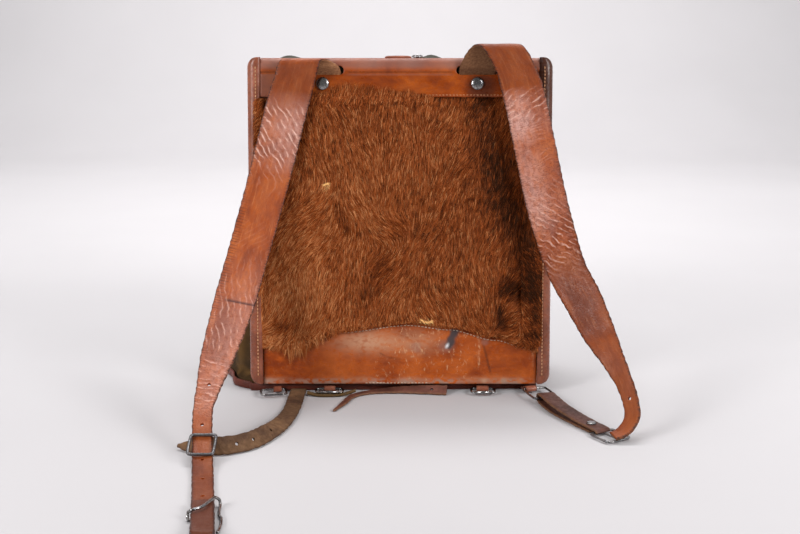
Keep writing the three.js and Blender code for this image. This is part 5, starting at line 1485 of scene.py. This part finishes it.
def steel_piece(name, node, rings, finish=steel_finish):
    """A closed wire frame in steel."""
    return make_piece(name, rings, hoop_faces(*rings.shape[:2]), finish, "steel", [node])


# Each frame: its place, half its width, its length and turn, and the width of the tab that holds it.
LEFT_LOOP = {"place": (-142.6, -75.4, 4.2), "half": 14.0, "length": 19.0, "turn": -9.0, "tab": 9.6}
BASE_BUCKLES = {"left": {"place": (-80, -69.6, 4.2), "half": 15.0, "length": 13.0, "turn": 0.0, "tab": 13},
                "right": {"place": (94, -70, 4.2), "half": 13.0, "length": 14.0, "turn": 0.0, "tab": 14}}
RIGHT_RING = {"place": (157, -83, 5.6), "half": 13.5, "length": 34.0, "turn": -16.0, "tab": 13}
RIGHT_BUCKLE = {"place": (212.9, -209.5, 2.4), "half": 14.5, "length": 28.0, "turn": -31.5}


def lying(b, rounding):
    """Rings of a wire frame laid at its place and turn."""
    return laid(wire_frame(b["half"], b["length"], rounding), b["place"], b["turn"])


steel_piece("left_loop_wire", "left_wire_loop", lying(LEFT_LOOP, 4))
for name, b in BASE_BUCKLES.items():
    steel_piece(f"{name}_buckle_wire", f"{name}_base_buckle", lying(b, 3))
    outer = np.array([b["place"][0], b["place"][1] - b["length"] / 2, b["place"][2]])
    roller = cylinder(outer, (1, 0, 0), ROLLER_RADIUS, 2 * b["half"] - 7)
    tube_piece(f"{name}_buckle_roller", roller, steel_finish, "steel")
steel_piece("right_ring_wire", "right_ring", lying(RIGHT_RING, 4))
print("wire frames made")

# %% [markdown]
# The right strap's buckle lies at the end of the doubled strap. Its prong is one more bar along a line, with
# a small rise where its tip lies over the frame.

# %% Right strap buckle and its prong
steel_piece("right_buckle_wire", "right_strap_buckle", lying(RIGHT_BUCKLE, 4))
PRONG_TIP, PRONG_ROOT, PRONG_RISE, PRONG_RADIUS = -15.1, 13.7, 0.9, 1.05
prong_y = np.linspace(PRONG_TIP, PRONG_ROOT, 24)
prong_line = np.stack([0 * prong_y, prong_y, PRONG_RISE * bell((prong_y + 13.9) / 3)], 1)
prong_run = unit(np.gradient(prong_line, axis=0))
prong = laid(bar(prong_line, prong_run, PRONG_RADIUS), RIGHT_BUCKLE["place"], RIGHT_BUCKLE["turn"])
tube_piece("right_buckle_prong", prong, steel_finish, "steel")
print("prong made")

# %% [markdown]
# The left strap carries a buckle frame where it comes down to the ground and a bent wire hook at its end.
# The frame lies level across the strap and follows its slope.

# %% Left buckle and hook
BUCKLE_WIRE, BUCKLE_HALF, BUCKLE_LENGTH, BUCKLE_STATION, BUCKLE_LIFT = 1.5, 12.2, 26, 21.2, 1.25
line, run = strap_frames(left_stations, np.array([BUCKLE_STATION]))[:2]
back = unit(-run[0] * [0, 1, 1])
up = np.cross(RIGHT, back)
flat = wire_frame(BUCKLE_HALF, BUCKLE_LENGTH, 3, BUCKLE_WIRE)
seat = line[0] + up * (STRAP_LEATHER / 2 + BUCKLE_WIRE + BUCKLE_LIFT)
rings = seat + flat[..., :1] * RIGHT + flat[..., 1:2] * back + flat[..., 2:] * up
steel_piece("left_buckle_wire", "left_strap_buckle", rings, dull_steel)
HOOK = np.array([(-177.3, -407, 1.8), (-178.9, -402.5, 2.8), (-178.6, -400.6, 6.6), (-174.6, -401.6, 9.4),
                 (-169.4, -397.8, 9.4), (-165.5, -391, 9.4), (-162.3, -381.5, 9.4), (-160, -375.2, 8.8),
                 (-156.8, -372.6, 5.8), (-155.4, -376.5, 2.6), (-154.6, -387, 2.0), (-153, -397, 2.0),
                 (-150.6, -402, 2.0), (-149.2, -412, 2.0), (-148.8, -421, 2.0), (-149.2, -431, 2.6)])
hook_line, hook_run = through(HOOK, np.linspace(0, len(HOOK) - 1, 140), tension=0.35)
hook = bar(hook_line, hook_run, WIRE)
tube_piece("left_hook_wire", hook, steel_finish, "steel", ["left_hook"])
print("hook made")

# %% [markdown]
# Rivets are turned shapes: a profile of radius against height, spun about its axis, which keeps the rim
# round and the crown smooth. The two large ones are domed and sit on the band, the small flat one holds the
# doubled strap on the right.

# %% Rivets
RIVET_SIDES = 36


def turned(profile, place, axis):
    """Rings of a turned shape: each (radius, height) of a smooth profile as a circle about the axis."""
    axis = unit(np.asarray(axis, float))
    first = unit(np.cross(axis, [1.0, 0.2, 0.1]))
    second = np.cross(axis, first)
    angle = around(RIVET_SIDES)[None, :, None]
    r, h = np.asarray(profile, float).T[..., None, None]
    return np.asarray(place, float) + r * (np.cos(angle) * first + np.sin(angle) * second) + h * axis


def dome(radius, low, edge, top):
    """Profile of a rivet head: a shank, a flat underside, a rounded rim and a quarter-ellipse crown."""
    t = np.linspace(0, np.pi / 2, 12)
    crown = np.stack([radius * np.cos(t), edge + (top - edge) * np.sin(t)], 1)
    crown[-1, 0] = 0.05
    return np.concatenate([[(0.05, low), (2.0, low), (2.0, edge - 0.9), (radius * 0.93, edge - 0.9),
                            (radius, edge - 0.45)], crown])


RIVET_HEIGHT, RIVET_RADIUS, RIVET_FOOT, RIVET_RIM, RIVET_TOP = 342.0, 7.0, 0.1, 6.8, 9.0
rivet_profile = dome(RIVET_RADIUS, RIVET_FOOT, RIVET_RIM, RIVET_TOP)
for side, name in SIDES:
    head = turned(rivet_profile, on_panel(side * SLOT_MIDDLE, RIVET_HEIGHT, 0.0), OUT)
    tube_piece(f"{name}_rivet_dome", head, steel_finish, "steel", [f"{name}_rivet"])
print("rivets made")

# %% [markdown]
# Chapes are short leather tabs folded round a bar: out along the top, round the bar and back along the
# ground. Their roots stand just in front of the base. A chape is a short strap, so the strap maker does it.

# %% Chapes
GAP = 0.35
TAB_LEATHER, THIN_LEATHER = 1.6, 2.3
BASE_FRONT_LEFT, BASE_FRONT_RIGHT, BASE_FRONT_HALF = -58.5, -51.0, 163.0


def base_front(x):
    """The straight front edge of the base, which comes forward to the left."""
    share = (np.asarray(x, float) + BASE_FRONT_HALF) / (2 * BASE_FRONT_HALF)
    return BASE_FRONT_LEFT + (BASE_FRONT_RIGHT - BASE_FRONT_LEFT) * share


def chape_stations(root, bar_at, bar_z, width):
    """Stations of a folded tab: above and below the bar by the wire's and the leather's thickness."""
    out = unit(np.asarray(bar_at, float) - root)
    turn = np.degrees(np.arctan2(out[1], out[0])) + 90
    reach = WIRE + GAP + TAB_LEATHER / 2
    top = TAB_LEATHER * 2 + 0.5
    back = -np.hypot(*(np.asarray(bar_at, float) - root))
    low = max(bar_z - reach, TAB_LEATHER / 2 + GAP)
    ahead = np.array([back, back * 0.55, -0.6, reach * 0.75, reach * 1.05, reach * 0.75, -0.6, back])
    high = np.array([top, top * 0.5 + (bar_z + reach) * 0.5, bar_z + reach, bar_z + reach * 0.7, bar_z,
                     bar_z - reach * 0.7, bar_z - reach, low])
    spot = np.asarray(bar_at, float)[None] + out[None] * ahead[:, None]
    return free(np.c_[spot, high, np.full(8, width), np.full(8, turn)])


def chape(name, node, root, bar_at, bar_z, width):
    """A folded tab in binding leather."""
    stations = chape_stations(np.asarray(root, float), bar_at, bar_z, width)
    points, uv, marks, _ = strap_rings(stations, TAB_LEATHER, 0.8, 9, 0.05)
    tube_piece(name, points, binding_finish, "binding_leather", [node], uv=uv,
               marks={"edge": 0.6 * marks["edge"]})


def inner_bar(b, offset):
    """A point on a frame's inner bar, offset along it, and the frame's outward axis."""
    turn = np.radians(b["turn"])
    axis = np.array([-np.sin(turn), -np.cos(turn)])
    along = np.array([-axis[1], axis[0]])
    return np.array(b["place"][:2]) - axis * b["length"] / 2 + along * offset, axis


bar_at, axis = inner_bar(LEFT_LOOP, 5.0)
reach = (base_front(bar_at[0]) - 3 * GAP - bar_at[1]) / -axis[1]
chape("left_loop_tab", "left_loop_chape", bar_at - axis * reach, bar_at, LEFT_LOOP["place"][2],
      LEFT_LOOP["tab"])
for name, b in BASE_BUCKLES.items():
    x, y, z = b["place"]
    chape(f"{name}_buckle_tab", f"{name}_base_chape", (x, base_front(x) - 2 * GAP),
          (x, y + b["length"] / 2), z, b["tab"])
RING_TAB_REACH = 14.6
bar_at, axis = inner_bar(RIGHT_RING, -4.0)
chape("right_ring_tab", "right_ring_chape", bar_at - axis * RING_TAB_REACH, bar_at, RIGHT_RING["place"][2],
      RIGHT_RING["tab"])
print("chapes made")

# %% [markdown]
# The doubled strap on the right starts over its buckle's bar, runs back to an open loop round the ring and
# returns beneath itself. Its stations are places along one line on the ground, each with its own height.

# %% Doubled strap on the right
LOWER_LINE = [(161.7, -99.3, 0), (167.6, -126, 0), (179.2, -150, 0), (191.6, -174.5, 0), (205.4, -197.5, 0)]
LOWER_OPEN, LOWER_WIDTH, LOWER_RIVET = 4.6, 19.0, 0.86
lower_reach = WIRE + GAP + THIN_LEATHER / 2
lower_low = THIN_LEATHER / 2 + GAP
bar_z = RIGHT_BUCKLE["place"][2]
bar_top = bar_z + lower_reach
lower_high = bar_top + 0.4
loop_top = lower_low + 2 * LOWER_OPEN
# Each station: share of the way along the line, distance ahead of that, and height.
LOWER_RUN = np.array([
    (1, lower_reach * 1.25, bar_z), (1, lower_reach * 0.9, bar_top - 0.8), (1, -0.4, bar_top),
    (LOWER_RIVET, 0, lower_high), (0.62, 0, lower_high + 1.2), (0.36, 0, loop_top - 1.6),
    (0.12, 0, loop_top), (0, -3, loop_top - 1.2), (0, -3 - LOWER_OPEN * 0.7, lower_low + LOWER_OPEN),
    (0, -3, lower_low + 1), (0.12, 0, lower_low), (0.36, 0, lower_low), (0.62, 0, lower_low),
    (0.93, 0, lower_low),
])
spot, run = through(LOWER_LINE, LOWER_RUN[:, 0] * 4)
lower_turn = np.degrees(np.arctan2(run[:, 1], run[:, 0])) + 90
lower_place = (spot + run * LOWER_RUN[:, 1:2])[:, :2]
lower_rows = np.c_[lower_place, LOWER_RUN[:, 2], np.full(len(spot), LOWER_WIDTH), lower_turn]
rough_strap("right_lower_leather", "right_lower_strap", free(lower_rows), THIN_LEATHER, brown_finish)
rivet_at = through(LOWER_LINE, [LOWER_RIVET * 4])[0][0]
seat = lower_high + THIN_LEATHER / 2 + GAP
flat_head = [(0.05, 0.6), (1.6, 0.6), (1.6, seat), (4.8, seat), (5.0, seat + 0.4), (4.6, seat + 1.0),
             (3.4, seat + 1.3), (0.05, seat + 1.4)]
head = turned(flat_head, rivet_at * [1, 1, 0], (0, 0, 1))
tube_piece("right_loop_rivet_head", head, steel_finish, "steel", ["right_loop_rivet"])
print("doubled strap made")

# %% [markdown]
# The bag is one wall of canvas that runs from the panel's left edge round the far side to the right edge.
# Its plan changes with height: wide and slumped to the left at the base, narrow at the mouth. Folds run up
# the corners where the cloth is slack, and finer ripples ride on them. It could be sculpted, but a plan that
# changes with height needs only a short table, and its wall keeps an even thickness.

# %% Bag plan
BAG_FLANGE = 11.5
CANVAS = 2.0
BAG_LOW, BAG_HIGH, BAG_ROWS, BAG_STEPS, BAG_MEASURED_ROW = 2.9, 352, 64, 150, 20
BAG_Z = [3, 14, 32, 95, 170, 260, 350]
BAG_COLUMNS = {"front": [152, 152, 163.2, 163.2, 163.2, 163.2, 163.2],
               "back": [-15, -15, 1.2, 1.2, 1.2, 1.2, 1.2],
               "left": [-206, -205, -200, -188, -172, -167, -161],
               "right": [171, 171, 173, 174, 171, 167, 161],
               "far": [58, 58, 66, 71, 71, 64, 56], "flare": [18, 8, 0, 0, 0, 0, 0]}
MOUTH_S = [0, 0.12, 0.24, 0.36, 0.64, 0.76, 0.88, 1]
MOUTH_Z = [352, 322, 322, 340, 340, 322, 322, 352]
# Each fold: share of the way round, its width, its depth, and the heights where it begins and ends.
BAG_FOLDS = [(0.145, 0.017, 5.0, 8, 150), (0.195, 0.020, -4.5, 8, 190), (0.245, 0.022, 5.0, 20, 210),
             (0.44, 0.040, 4.0, 20, 160), (0.60, 0.045, 4.0, 30, 180), (0.82, 0.026, 4.0, 30, 220)]
# Each hollow between folds, painted shade: share of the way round, its width, how dark it is, and its
# heights.
BAG_HOLLOW_SHADES = [(0.105, 0.012, 0.75, 12, 130), (0.175, 0.014, 0.9, 10, 110), (0.222, 0.010, 0.6, 16, 120)]


def bag_plan(z):
    """Thirteen plan points of the bag at one height: both front flanges, the sides and the far side."""
    front, back, left, right, far, flare = (float(eased(z, BAG_Z, c)) for c in BAG_COLUMNS.values())
    near = FOOT[1] + (z - FOOT[2]) * np.tan(LEAN) - back
    x = [-front - 0.9 * flare, -front - 0.1 - 2 * flare, -front + (left + front) * 0.8, left, left * 0.93,
         left * 0.62, 0, right * 0.62, right * 0.93, right, front + (right - front) * 0.75, front + 0.1,
         front]
    deep = np.array([0, 0, 0.36, 0.62, 0.93, 1.0, 1.03, 1.0, 0.93, 0.6, 0.36, 0, 0])
    y = near + (far - near) * deep
    y[[1, 11]] += BAG_FLANGE
    y[0] -= 0.2 * flare
    return np.c_[x, y, np.full(13, z)]


def bag_points(s, z, offset, ripple=0.0):
    """Points round the bag at one height, moved outward by an offset, the folds and a fine ripple."""
    line, run = through(bag_plan(z), s * 12)
    out = unit(np.stack([-run[:, 1], run[:, 0], 0 * s], 1))
    fold = np.zeros_like(s)
    for at, width, deep, low, high in BAG_FOLDS:
        fold += deep * bell((s - at) / width) * smooth(z, low, low + 40) * (1 - smooth(z, high - 60, high))
    slack = np.sin(s * 95 + z / 23) * np.sin(z / 17 + s * 21) + 0.6 * np.sin(s * 170 - z / 31)
    fold += ripple * smooth(z, 14, 50) * slack
    return line + out * (offset + fold)[:, None]


def bag_side(s, offset):
    """Rows of points round the bag at rising heights; each row climbs towards the mouth's own outline."""
    mouth = eased(s, MOUTH_S, MOUTH_Z)
    levels = np.linspace(0, 1, BAG_ROWS)
    tall = BAG_HIGH - BAG_LOW
    stack = np.stack([bag_points(s, BAG_LOW + tall * level, offset, 0.5) for level in levels], 1)
    height = BAG_LOW + (mouth[:, None] - BAG_LOW) * levels[None, :]
    source = np.clip((height - BAG_LOW) / tall * (BAG_ROWS - 1), 0, BAG_ROWS - 1.001)
    low = np.floor(source).astype(int)
    part = (source - low)[..., None]
    row = np.arange(len(s))[:, None]
    return stack[row, low] * (1 - part) + stack[row, low + 1] * part


bag_s = np.linspace(0, 1, BAG_STEPS)
bag_out, bag_in = bag_side(bag_s, CANVAS / 2), bag_side(bag_s, -CANVAS / 2)
bag_round, bag_z = bag_s[:, None], bag_out[..., 2]
round_way = np.broadcast_to(row_length(bag_out[:, BAG_MEASURED_ROW])[:, None], bag_z.shape)
# The edge mark is the darker hem at the mouth and painted shade in the hollows; the ridge mark is a painted
# highlight on a fold's crest and along a diagonal crease.
hem_and_hollow_shade = 0.5 * (1 - smooth(bag_z[:, -1:] - bag_z, 1, 4))
for at, wide, dark, low, high in BAG_HOLLOW_SHADES:
    hollow_shade = bell((bag_round - at) / wide) * smooth(bag_z, low, low + 15)
    hem_and_hollow_shade = np.maximum(hem_and_hollow_shade, dark * hollow_shade * (1 - smooth(bag_z, high - 30, high)))
ridge_highlight = 0.7 * bell((bag_round - 0.14) / 0.010) * (1 - smooth(bag_z, 60, 110))
crease = bag_z - 14 - 130 * (bag_round - 0.11)
ridge_highlight = np.maximum(ridge_highlight, 0.8 * bell(crease / 3.2) * (np.abs(bag_round - 0.165) < 0.075))
wall_piece("bag_canvas", bag_out, bag_in, canvas_finish, "canvas", "bag_wall",
           uv=np.stack([round_way, bag_z], -1) * MM, marks={"edge": hem_and_hollow_shade, "ridge_highlight": ridge_highlight})
print("bag triangles:", made_triangles["bag_canvas"])

# %% [markdown]
# The base is a shallow leather tray whose edge stands up outside the canvas. It is a row of rings: the flat
# bottom, the rounded outside of the edge, its top, and down the inside.

# %% Base
BASE_EDGE = 9.0


def base_ring(offset, z, back):
    """The bag's plan at its foot, moved outward, cut straight along the front."""
    ring = bag_points(np.linspace(0, 1, 160), 3.0, CANVAS / 2 + GAP + offset)
    front = base_front(ring[:, 0]) + back
    ring[:, 1] = np.maximum(ring[:, 1], front)
    ring[[0, -1], 1] = front[[0, -1]]
    ring[:, 2] = z
    return ring


# Each ring: how far it is moved outward, its height, and how far its front is set back.
base_rows = [(LEATHER - 1.5, 0.0, 1.5)]
base_rows += [(LEATHER - 1.0 + 1.6 * np.sin(a), BASE_EDGE / 2 * (1 - np.cos(a)), 1.0 - np.sin(a))
              for a in np.linspace(0, np.pi, 13)[1:-1]]
base_rows += [(LEATHER - 1.0, BASE_EDGE, 1.0), (0.3, BASE_EDGE, LEATHER - 0.3),
              (0, BASE_EDGE - 0.6, LEATHER), (0, LEATHER, LEATHER)]
tube_piece("base_leather", np.stack([base_ring(*row) for row in base_rows]), welt_finish, "dark_leather",
           ["bag_base"])
print("base made")

# %% [markdown]
# The lid is a sheet of grey canvas sewn under the top band. It lies over the mouth, lifted here and there
# by what the bag holds, and hangs down the far side with a hem. A cloth simulation could drape it, but a
# formula gives the same folds every time.

# %% Lid
LID_HALF = 157.0
LID_RUN = [(0, -2, 368.0), (0, 14, 365.6), (0, 30, 368.4), (0, 50, 368.4), (0, 66, 362), (0, 74, 346),
           (0, 77, 310), (0, 79, 262), (0, 82, 205)]
# Each bump along the crest: x, width and rise.
LID_BUMPS = [(-132, 20, 6.5), (36, 15, 6), (118, 34, 4)]


def lid_side(x, b, offset):
    """Points of one side: the run offset along its normal, lifted by bumps, drooping at both sides."""
    line, run = through(LID_RUN, b * 8)
    deep, high = line[None, :, 1], line[None, :, 2]
    lift = sum(rise * bell((x - at) / width) for at, width, rise in LID_BUMPS) * bell((deep - 40) / 24)
    droop = 5 * smooth(np.abs(x), LID_HALF - 40, LID_HALF) * smooth(deep, 16, 34)
    hang = smooth(-high, -340, -230)
    swing = hang * (1.6 * np.sin(x / 33 + 0.6) + 0.9 * np.sin(x / 14 + high / 40))
    y = deep - run[None, :, 2] * offset + swing
    z = high + run[None, :, 1] * offset + lift - droop
    return np.stack([np.broadcast_to(x, y.shape), y, z], -1)


lid_x, lid_b = np.linspace(-LID_HALF, LID_HALF, 74)[:, None], np.linspace(0, 1, 60)
lid_out, lid_in = lid_side(lid_x, lid_b, CANVAS / 2), lid_side(lid_x, lid_b, -CANVAS / 2)
down = row_length(lid_out[len(lid_x) // 2])
inset = np.minimum(LID_HALF - np.abs(lid_x), down[-1] - down)
lid = wall_piece("lid_canvas", lid_out, lid_in, lid_finish, "lid_canvas", "lid_flap",
                 uv=np.stack(np.broadcast_arrays(lid_x, down), -1) * MM,
                 marks={"edge": 0.6 * bell((inset - 12) / 1.2)})
print("lid length:", round(down[-1]), "mm")

# %% [markdown]
# Small pieces behind the top edge and under the foot: a domed leather tab, a bright wire loop beside it,
# and a strip of canvas with an eyelet that sags onto the ground.

# %% Tab, loop and canvas strip
a, b = np.meshgrid(np.linspace(-1, 1, 30), np.linspace(0, 1, 16), indexing="ij")
band_back = BAND_FACE + LEATHER - BAND_ROLL
tab_u, tab_w = -2 + 15 * a, band_back - 2 - 17 * b
tab_high = 3 * (1 - 0.25 * a ** 4) * np.sqrt(1 - 0.75 * np.maximum(np.abs(a), np.abs(2 * b - 1)) ** 8)
wall_piece("lid_tab_leather", on_panel(tab_u, PANEL_LENGTH + GAP + tab_high, tab_w),
           on_panel(tab_u, PANEL_LENGTH + GAP, tab_w), binding_finish, "binding_leather", "lid_tab")

LOOP_RADIUS, LOOP_WIRE, LOOP_TILT = 5.2, 1.1, np.radians(8)
angle = around(60)
loop_line = LOOP_RADIUS * np.stack([np.cos(angle), np.sin(angle) * np.cos(LOOP_TILT),
                                    np.sin(angle) * np.sin(LOOP_TILT)], 1)
loop_run = unit(np.roll(loop_line, -1, 0) - np.roll(loop_line, 1, 0))
loop_at = on_panel(19.5, PANEL_LENGTH + GAP + LOOP_WIRE + 1.2, band_back - 7)
steel_piece("lid_loop_wire", "lid_loop", bar(loop_line, loop_run, LOOP_WIRE) + loop_at)

STRIP = [(-105, -78, 3.0), (-95, -81, 1.6), (-80, -82.5, 1.4), (-64, -80, 1.8), (-50, -73, 4.0)]
STRIP_WIDTH, STRIP_HALF = 7, np.array([0, 0, 0.6])
strip_line = through(STRIP, np.linspace(0, 4, 60))[0]
strip_b = np.linspace(0, 1, 10)
strip = strip_line[:, None] + strip_b[:, None] * [0, STRIP_WIDTH, 0.6]
strip_uv = np.stack(np.broadcast_arrays(row_length(strip_line)[:, None], STRIP_WIDTH * strip_b), -1) * MM
strip_edge = np.broadcast_to(0.5 * (np.abs(2 * strip_b - 1) > 0.8), strip.shape[:2])
piece = wall_piece("canvas_strip", strip + STRIP_HALF, strip - STRIP_HALF, strip_finish, "canvas",
                   "canvas_tab", uv=strip_uv, marks={"edge": strip_edge})
eyelet = through(STRIP, [0.78 * 4])[0][0] + [0, 3.4, 0]
punch(piece, [cylinder(eyelet, (0, 0, 1), 2.0, 12)])
print("small pieces made")

# %% [markdown]
# Stitches are geometry: small rounded pegs of thread, a few millimetres apart, half sunk in the leather. A
# bump could draw them, but pegs catch the light and cast a shadow. One function lays a row of them along
# any line with a given outward direction, as one joined mesh.

# %% Stitches
PEG_RINGS, PEG_SIDES = 5, 6


def stitch_row(name, line, out, pitch, length, thick, finish):
    """Pegs spaced by pitch along a line: rings of points, fat in the middle and thin at the ends."""
    far = row_length(line)
    at = np.arange(pitch / 2, far[-1], pitch)
    place, ahead = (np.stack([np.interp(at + step, far, line[:, k]) for k in range(3)], 1)
                    for step in (0, 0.5))
    run = unit(ahead - place + 1e-9)
    side = unit(np.cross(run, out))
    x = np.linspace(-1, 1, PEG_RINGS)
    fat = np.sqrt(1 - 0.85 * x ** 2)[:, None]
    angle = around(PEG_SIDES)
    aslant = run + side * random.normal(0, 0.07, (len(at), 1))
    points = (place[:, None, None] + aslant[:, None, None] * (x * length / 2)[None, :, None, None]
              + side[:, None, None] * (fat * np.cos(angle))[None, ..., None] * thick / 2
              + out * (fat * np.sin(angle))[None, ..., None] * thick / 2)
    first = np.arange(len(at))[:, None, None] * PEG_RINGS * PEG_SIDES
    faces = [(first + f[None]).reshape(-1, f.shape[1]) for f in tube_faces(PEG_RINGS, PEG_SIDES)]
    make_piece(f"{name}_stitches", points, faces, finish, "canvas")


BOTTOM_SEAM, TOP_SEAM = 2.95, 5.6
arch_u, foot_u = np.linspace(-64, 152, 200), np.linspace(-40, 32, 60)
seam_u, edge_u = np.linspace(-60, 152, 120), np.linspace(-150, 150, 120)
stitch_row("arch", on_panel(arch_u, arch_at(arch_u) - 3.2, BOTTOM_SEAM), OUT, 4.0, 2.7, 0.9, cream_thread)
stitch_row("foot", on_panel(foot_u, 5.0, BOTTOM_SEAM), OUT, 4.0, 2.8, 0.85, cream_thread)
stitch_row("band", on_panel(seam_u, BAND_LOW + 2.4, TOP_SEAM), OUT, 3.8, 2.4, 0.7, tan_thread)
stitch_row("edge", on_panel(edge_u, PANEL_LENGTH + 0.05, band_back - 19), RISE, 3.6, 2.6, 0.8, dark_thread)
BINDING_SEAM, BINDING_TOP = 160.4, 8.65
side_v = np.linspace(14, 362, 160)
for side, name in SIDES:
    line = on_panel(side * BINDING_SEAM, side_v, BINDING_TOP + uneven(side_v, side))
    stitch_row(f"{name}_binding", line, OUT, 3.9, 2.8, 1.4, tan_thread)
print("stitch triangles:", sum(n for k, n in made_triangles.items() if "stitches" in k))

# %% [markdown]
# A plain pale floor that curves up into a wall, soft lights from the left, the right and above, one more on
# the wall, and a pale sky. The side lights stand a little in front and above, so that the rolls of the
# leather and the domes of the rivets show their form.

# %% Floor and light
def floor_finish():
    """A pale, matt floor with the faintest unevenness."""
    finish, tree, shader = new_finish("pale_floor")
    cloud = noise(tree, object_place(tree), 3.0, 2.0)
    dress(tree, shader, mixed(tree, cloud, tone(188, 185, 187), tone(194, 191, 193)), 0.9)
    return finish


FLOOR_HALF, FLOOR_FRONT, WALL_AT, WALL_HIGH, COVE = 6.0, -6.0, 3.4, 4.0, 1.2


def floor_sheet():
    """The floor, a quarter-round cove and the wall as one profile (y, z) carried from side to side."""
    angle = np.linspace(0, np.pi / 2, 24)
    y = np.concatenate([[FLOOR_FRONT], WALL_AT - COVE + COVE * np.sin(angle), [WALL_AT]])
    z = np.concatenate([[0.0], COVE - COVE * np.cos(angle), [WALL_HIGH]])
    x = np.array([-FLOOR_HALF, FLOOR_HALF])
    points = np.stack([np.repeat(x, len(y)), np.tile(y, 2), np.tile(z, 2)], 1)
    return points, grid_faces(2, len(y))[:, ::-1]


points, faces = floor_sheet()
floor_mesh = bpy.data.meshes.new("floor")
floor_mesh.from_pydata(points.tolist(), [], faces.tolist())
floor_mesh.polygons.foreach_set("use_smooth", np.ones(len(faces), bool))
floor_mesh.materials.append(floor_finish())
floor = bpy.data.objects.new("floor", floor_mesh)
bpy.context.scene.collection.objects.link(floor)


def softbox(name, place, aim, size, power):
    """A square area light that looks at a point."""
    light = bpy.data.lights.new(name, "AREA")
    light.size = size
    light.energy = power
    lamp = bpy.data.objects.new(name, light)
    lamp.location = place
    direction = np.subtract(aim, place)
    yaw = np.arctan2(direction[1], direction[0]) - np.pi / 2
    pitch = np.arctan2(direction[2], np.hypot(*direction[:2])) + np.pi / 2
    lamp.rotation_euler = (pitch, 0, yaw)
    bpy.context.scene.collection.objects.link(lamp)


AIM = (0.0, -0.1, 0.2)
softbox("left_light", (-1.5, -1.3, 1.0), AIM, 0.7, 27.0)
softbox("right_light", (1.5, -1.1, 1.05), AIM, 0.7, 27.0)
softbox("top_light", (0.0, 0.35, 1.9), AIM, 1.0, 7.0)
softbox("wall_light", (0.0, 1.2, 2.6), (0.0, 3.2, 0.6), 2.0, 112.0)


def sky():
    """A bright wall behind the object and a dim room in front of it; seen directly it is an even grey."""
    world = bpy.data.worlds.new("sky")
    world.use_nodes = True
    tree = world.node_tree
    tree.nodes.clear()
    direction = put(tree, "SeparateXYZ", {0: put(tree, "TexCoord").outputs["Generated"]})
    wall = put(tree, "MapRange", {"Value": direction.outputs[1], "From Min": -0.6, "From Max": 0.7,
                                  "To Min": 0.18, "To Max": 0.85}, interpolation_type="SMOOTHSTEP")
    light = put(tree, "Background", {"Color": (1.0, 1.0, 1.0, 1.0), "Strength": wall.outputs[0]})
    seen = put(tree, "Background", {"Color": (0.86, 0.86, 0.87, 1.0), "Strength": 1.0})
    looked = put(tree, "LightPath").outputs["Is Camera Ray"]
    choice = put(tree, "MixShader", {0: looked, 1: light.outputs[0], 2: seen.outputs[0]})
    put(tree, "OutputWorld", {"Surface": choice.outputs[0]})
    bpy.context.scene.world = world


sky()
bpy.context.scene.view_settings.view_transform = "Standard"
print("triangles made:", sum(made_triangles.values()))
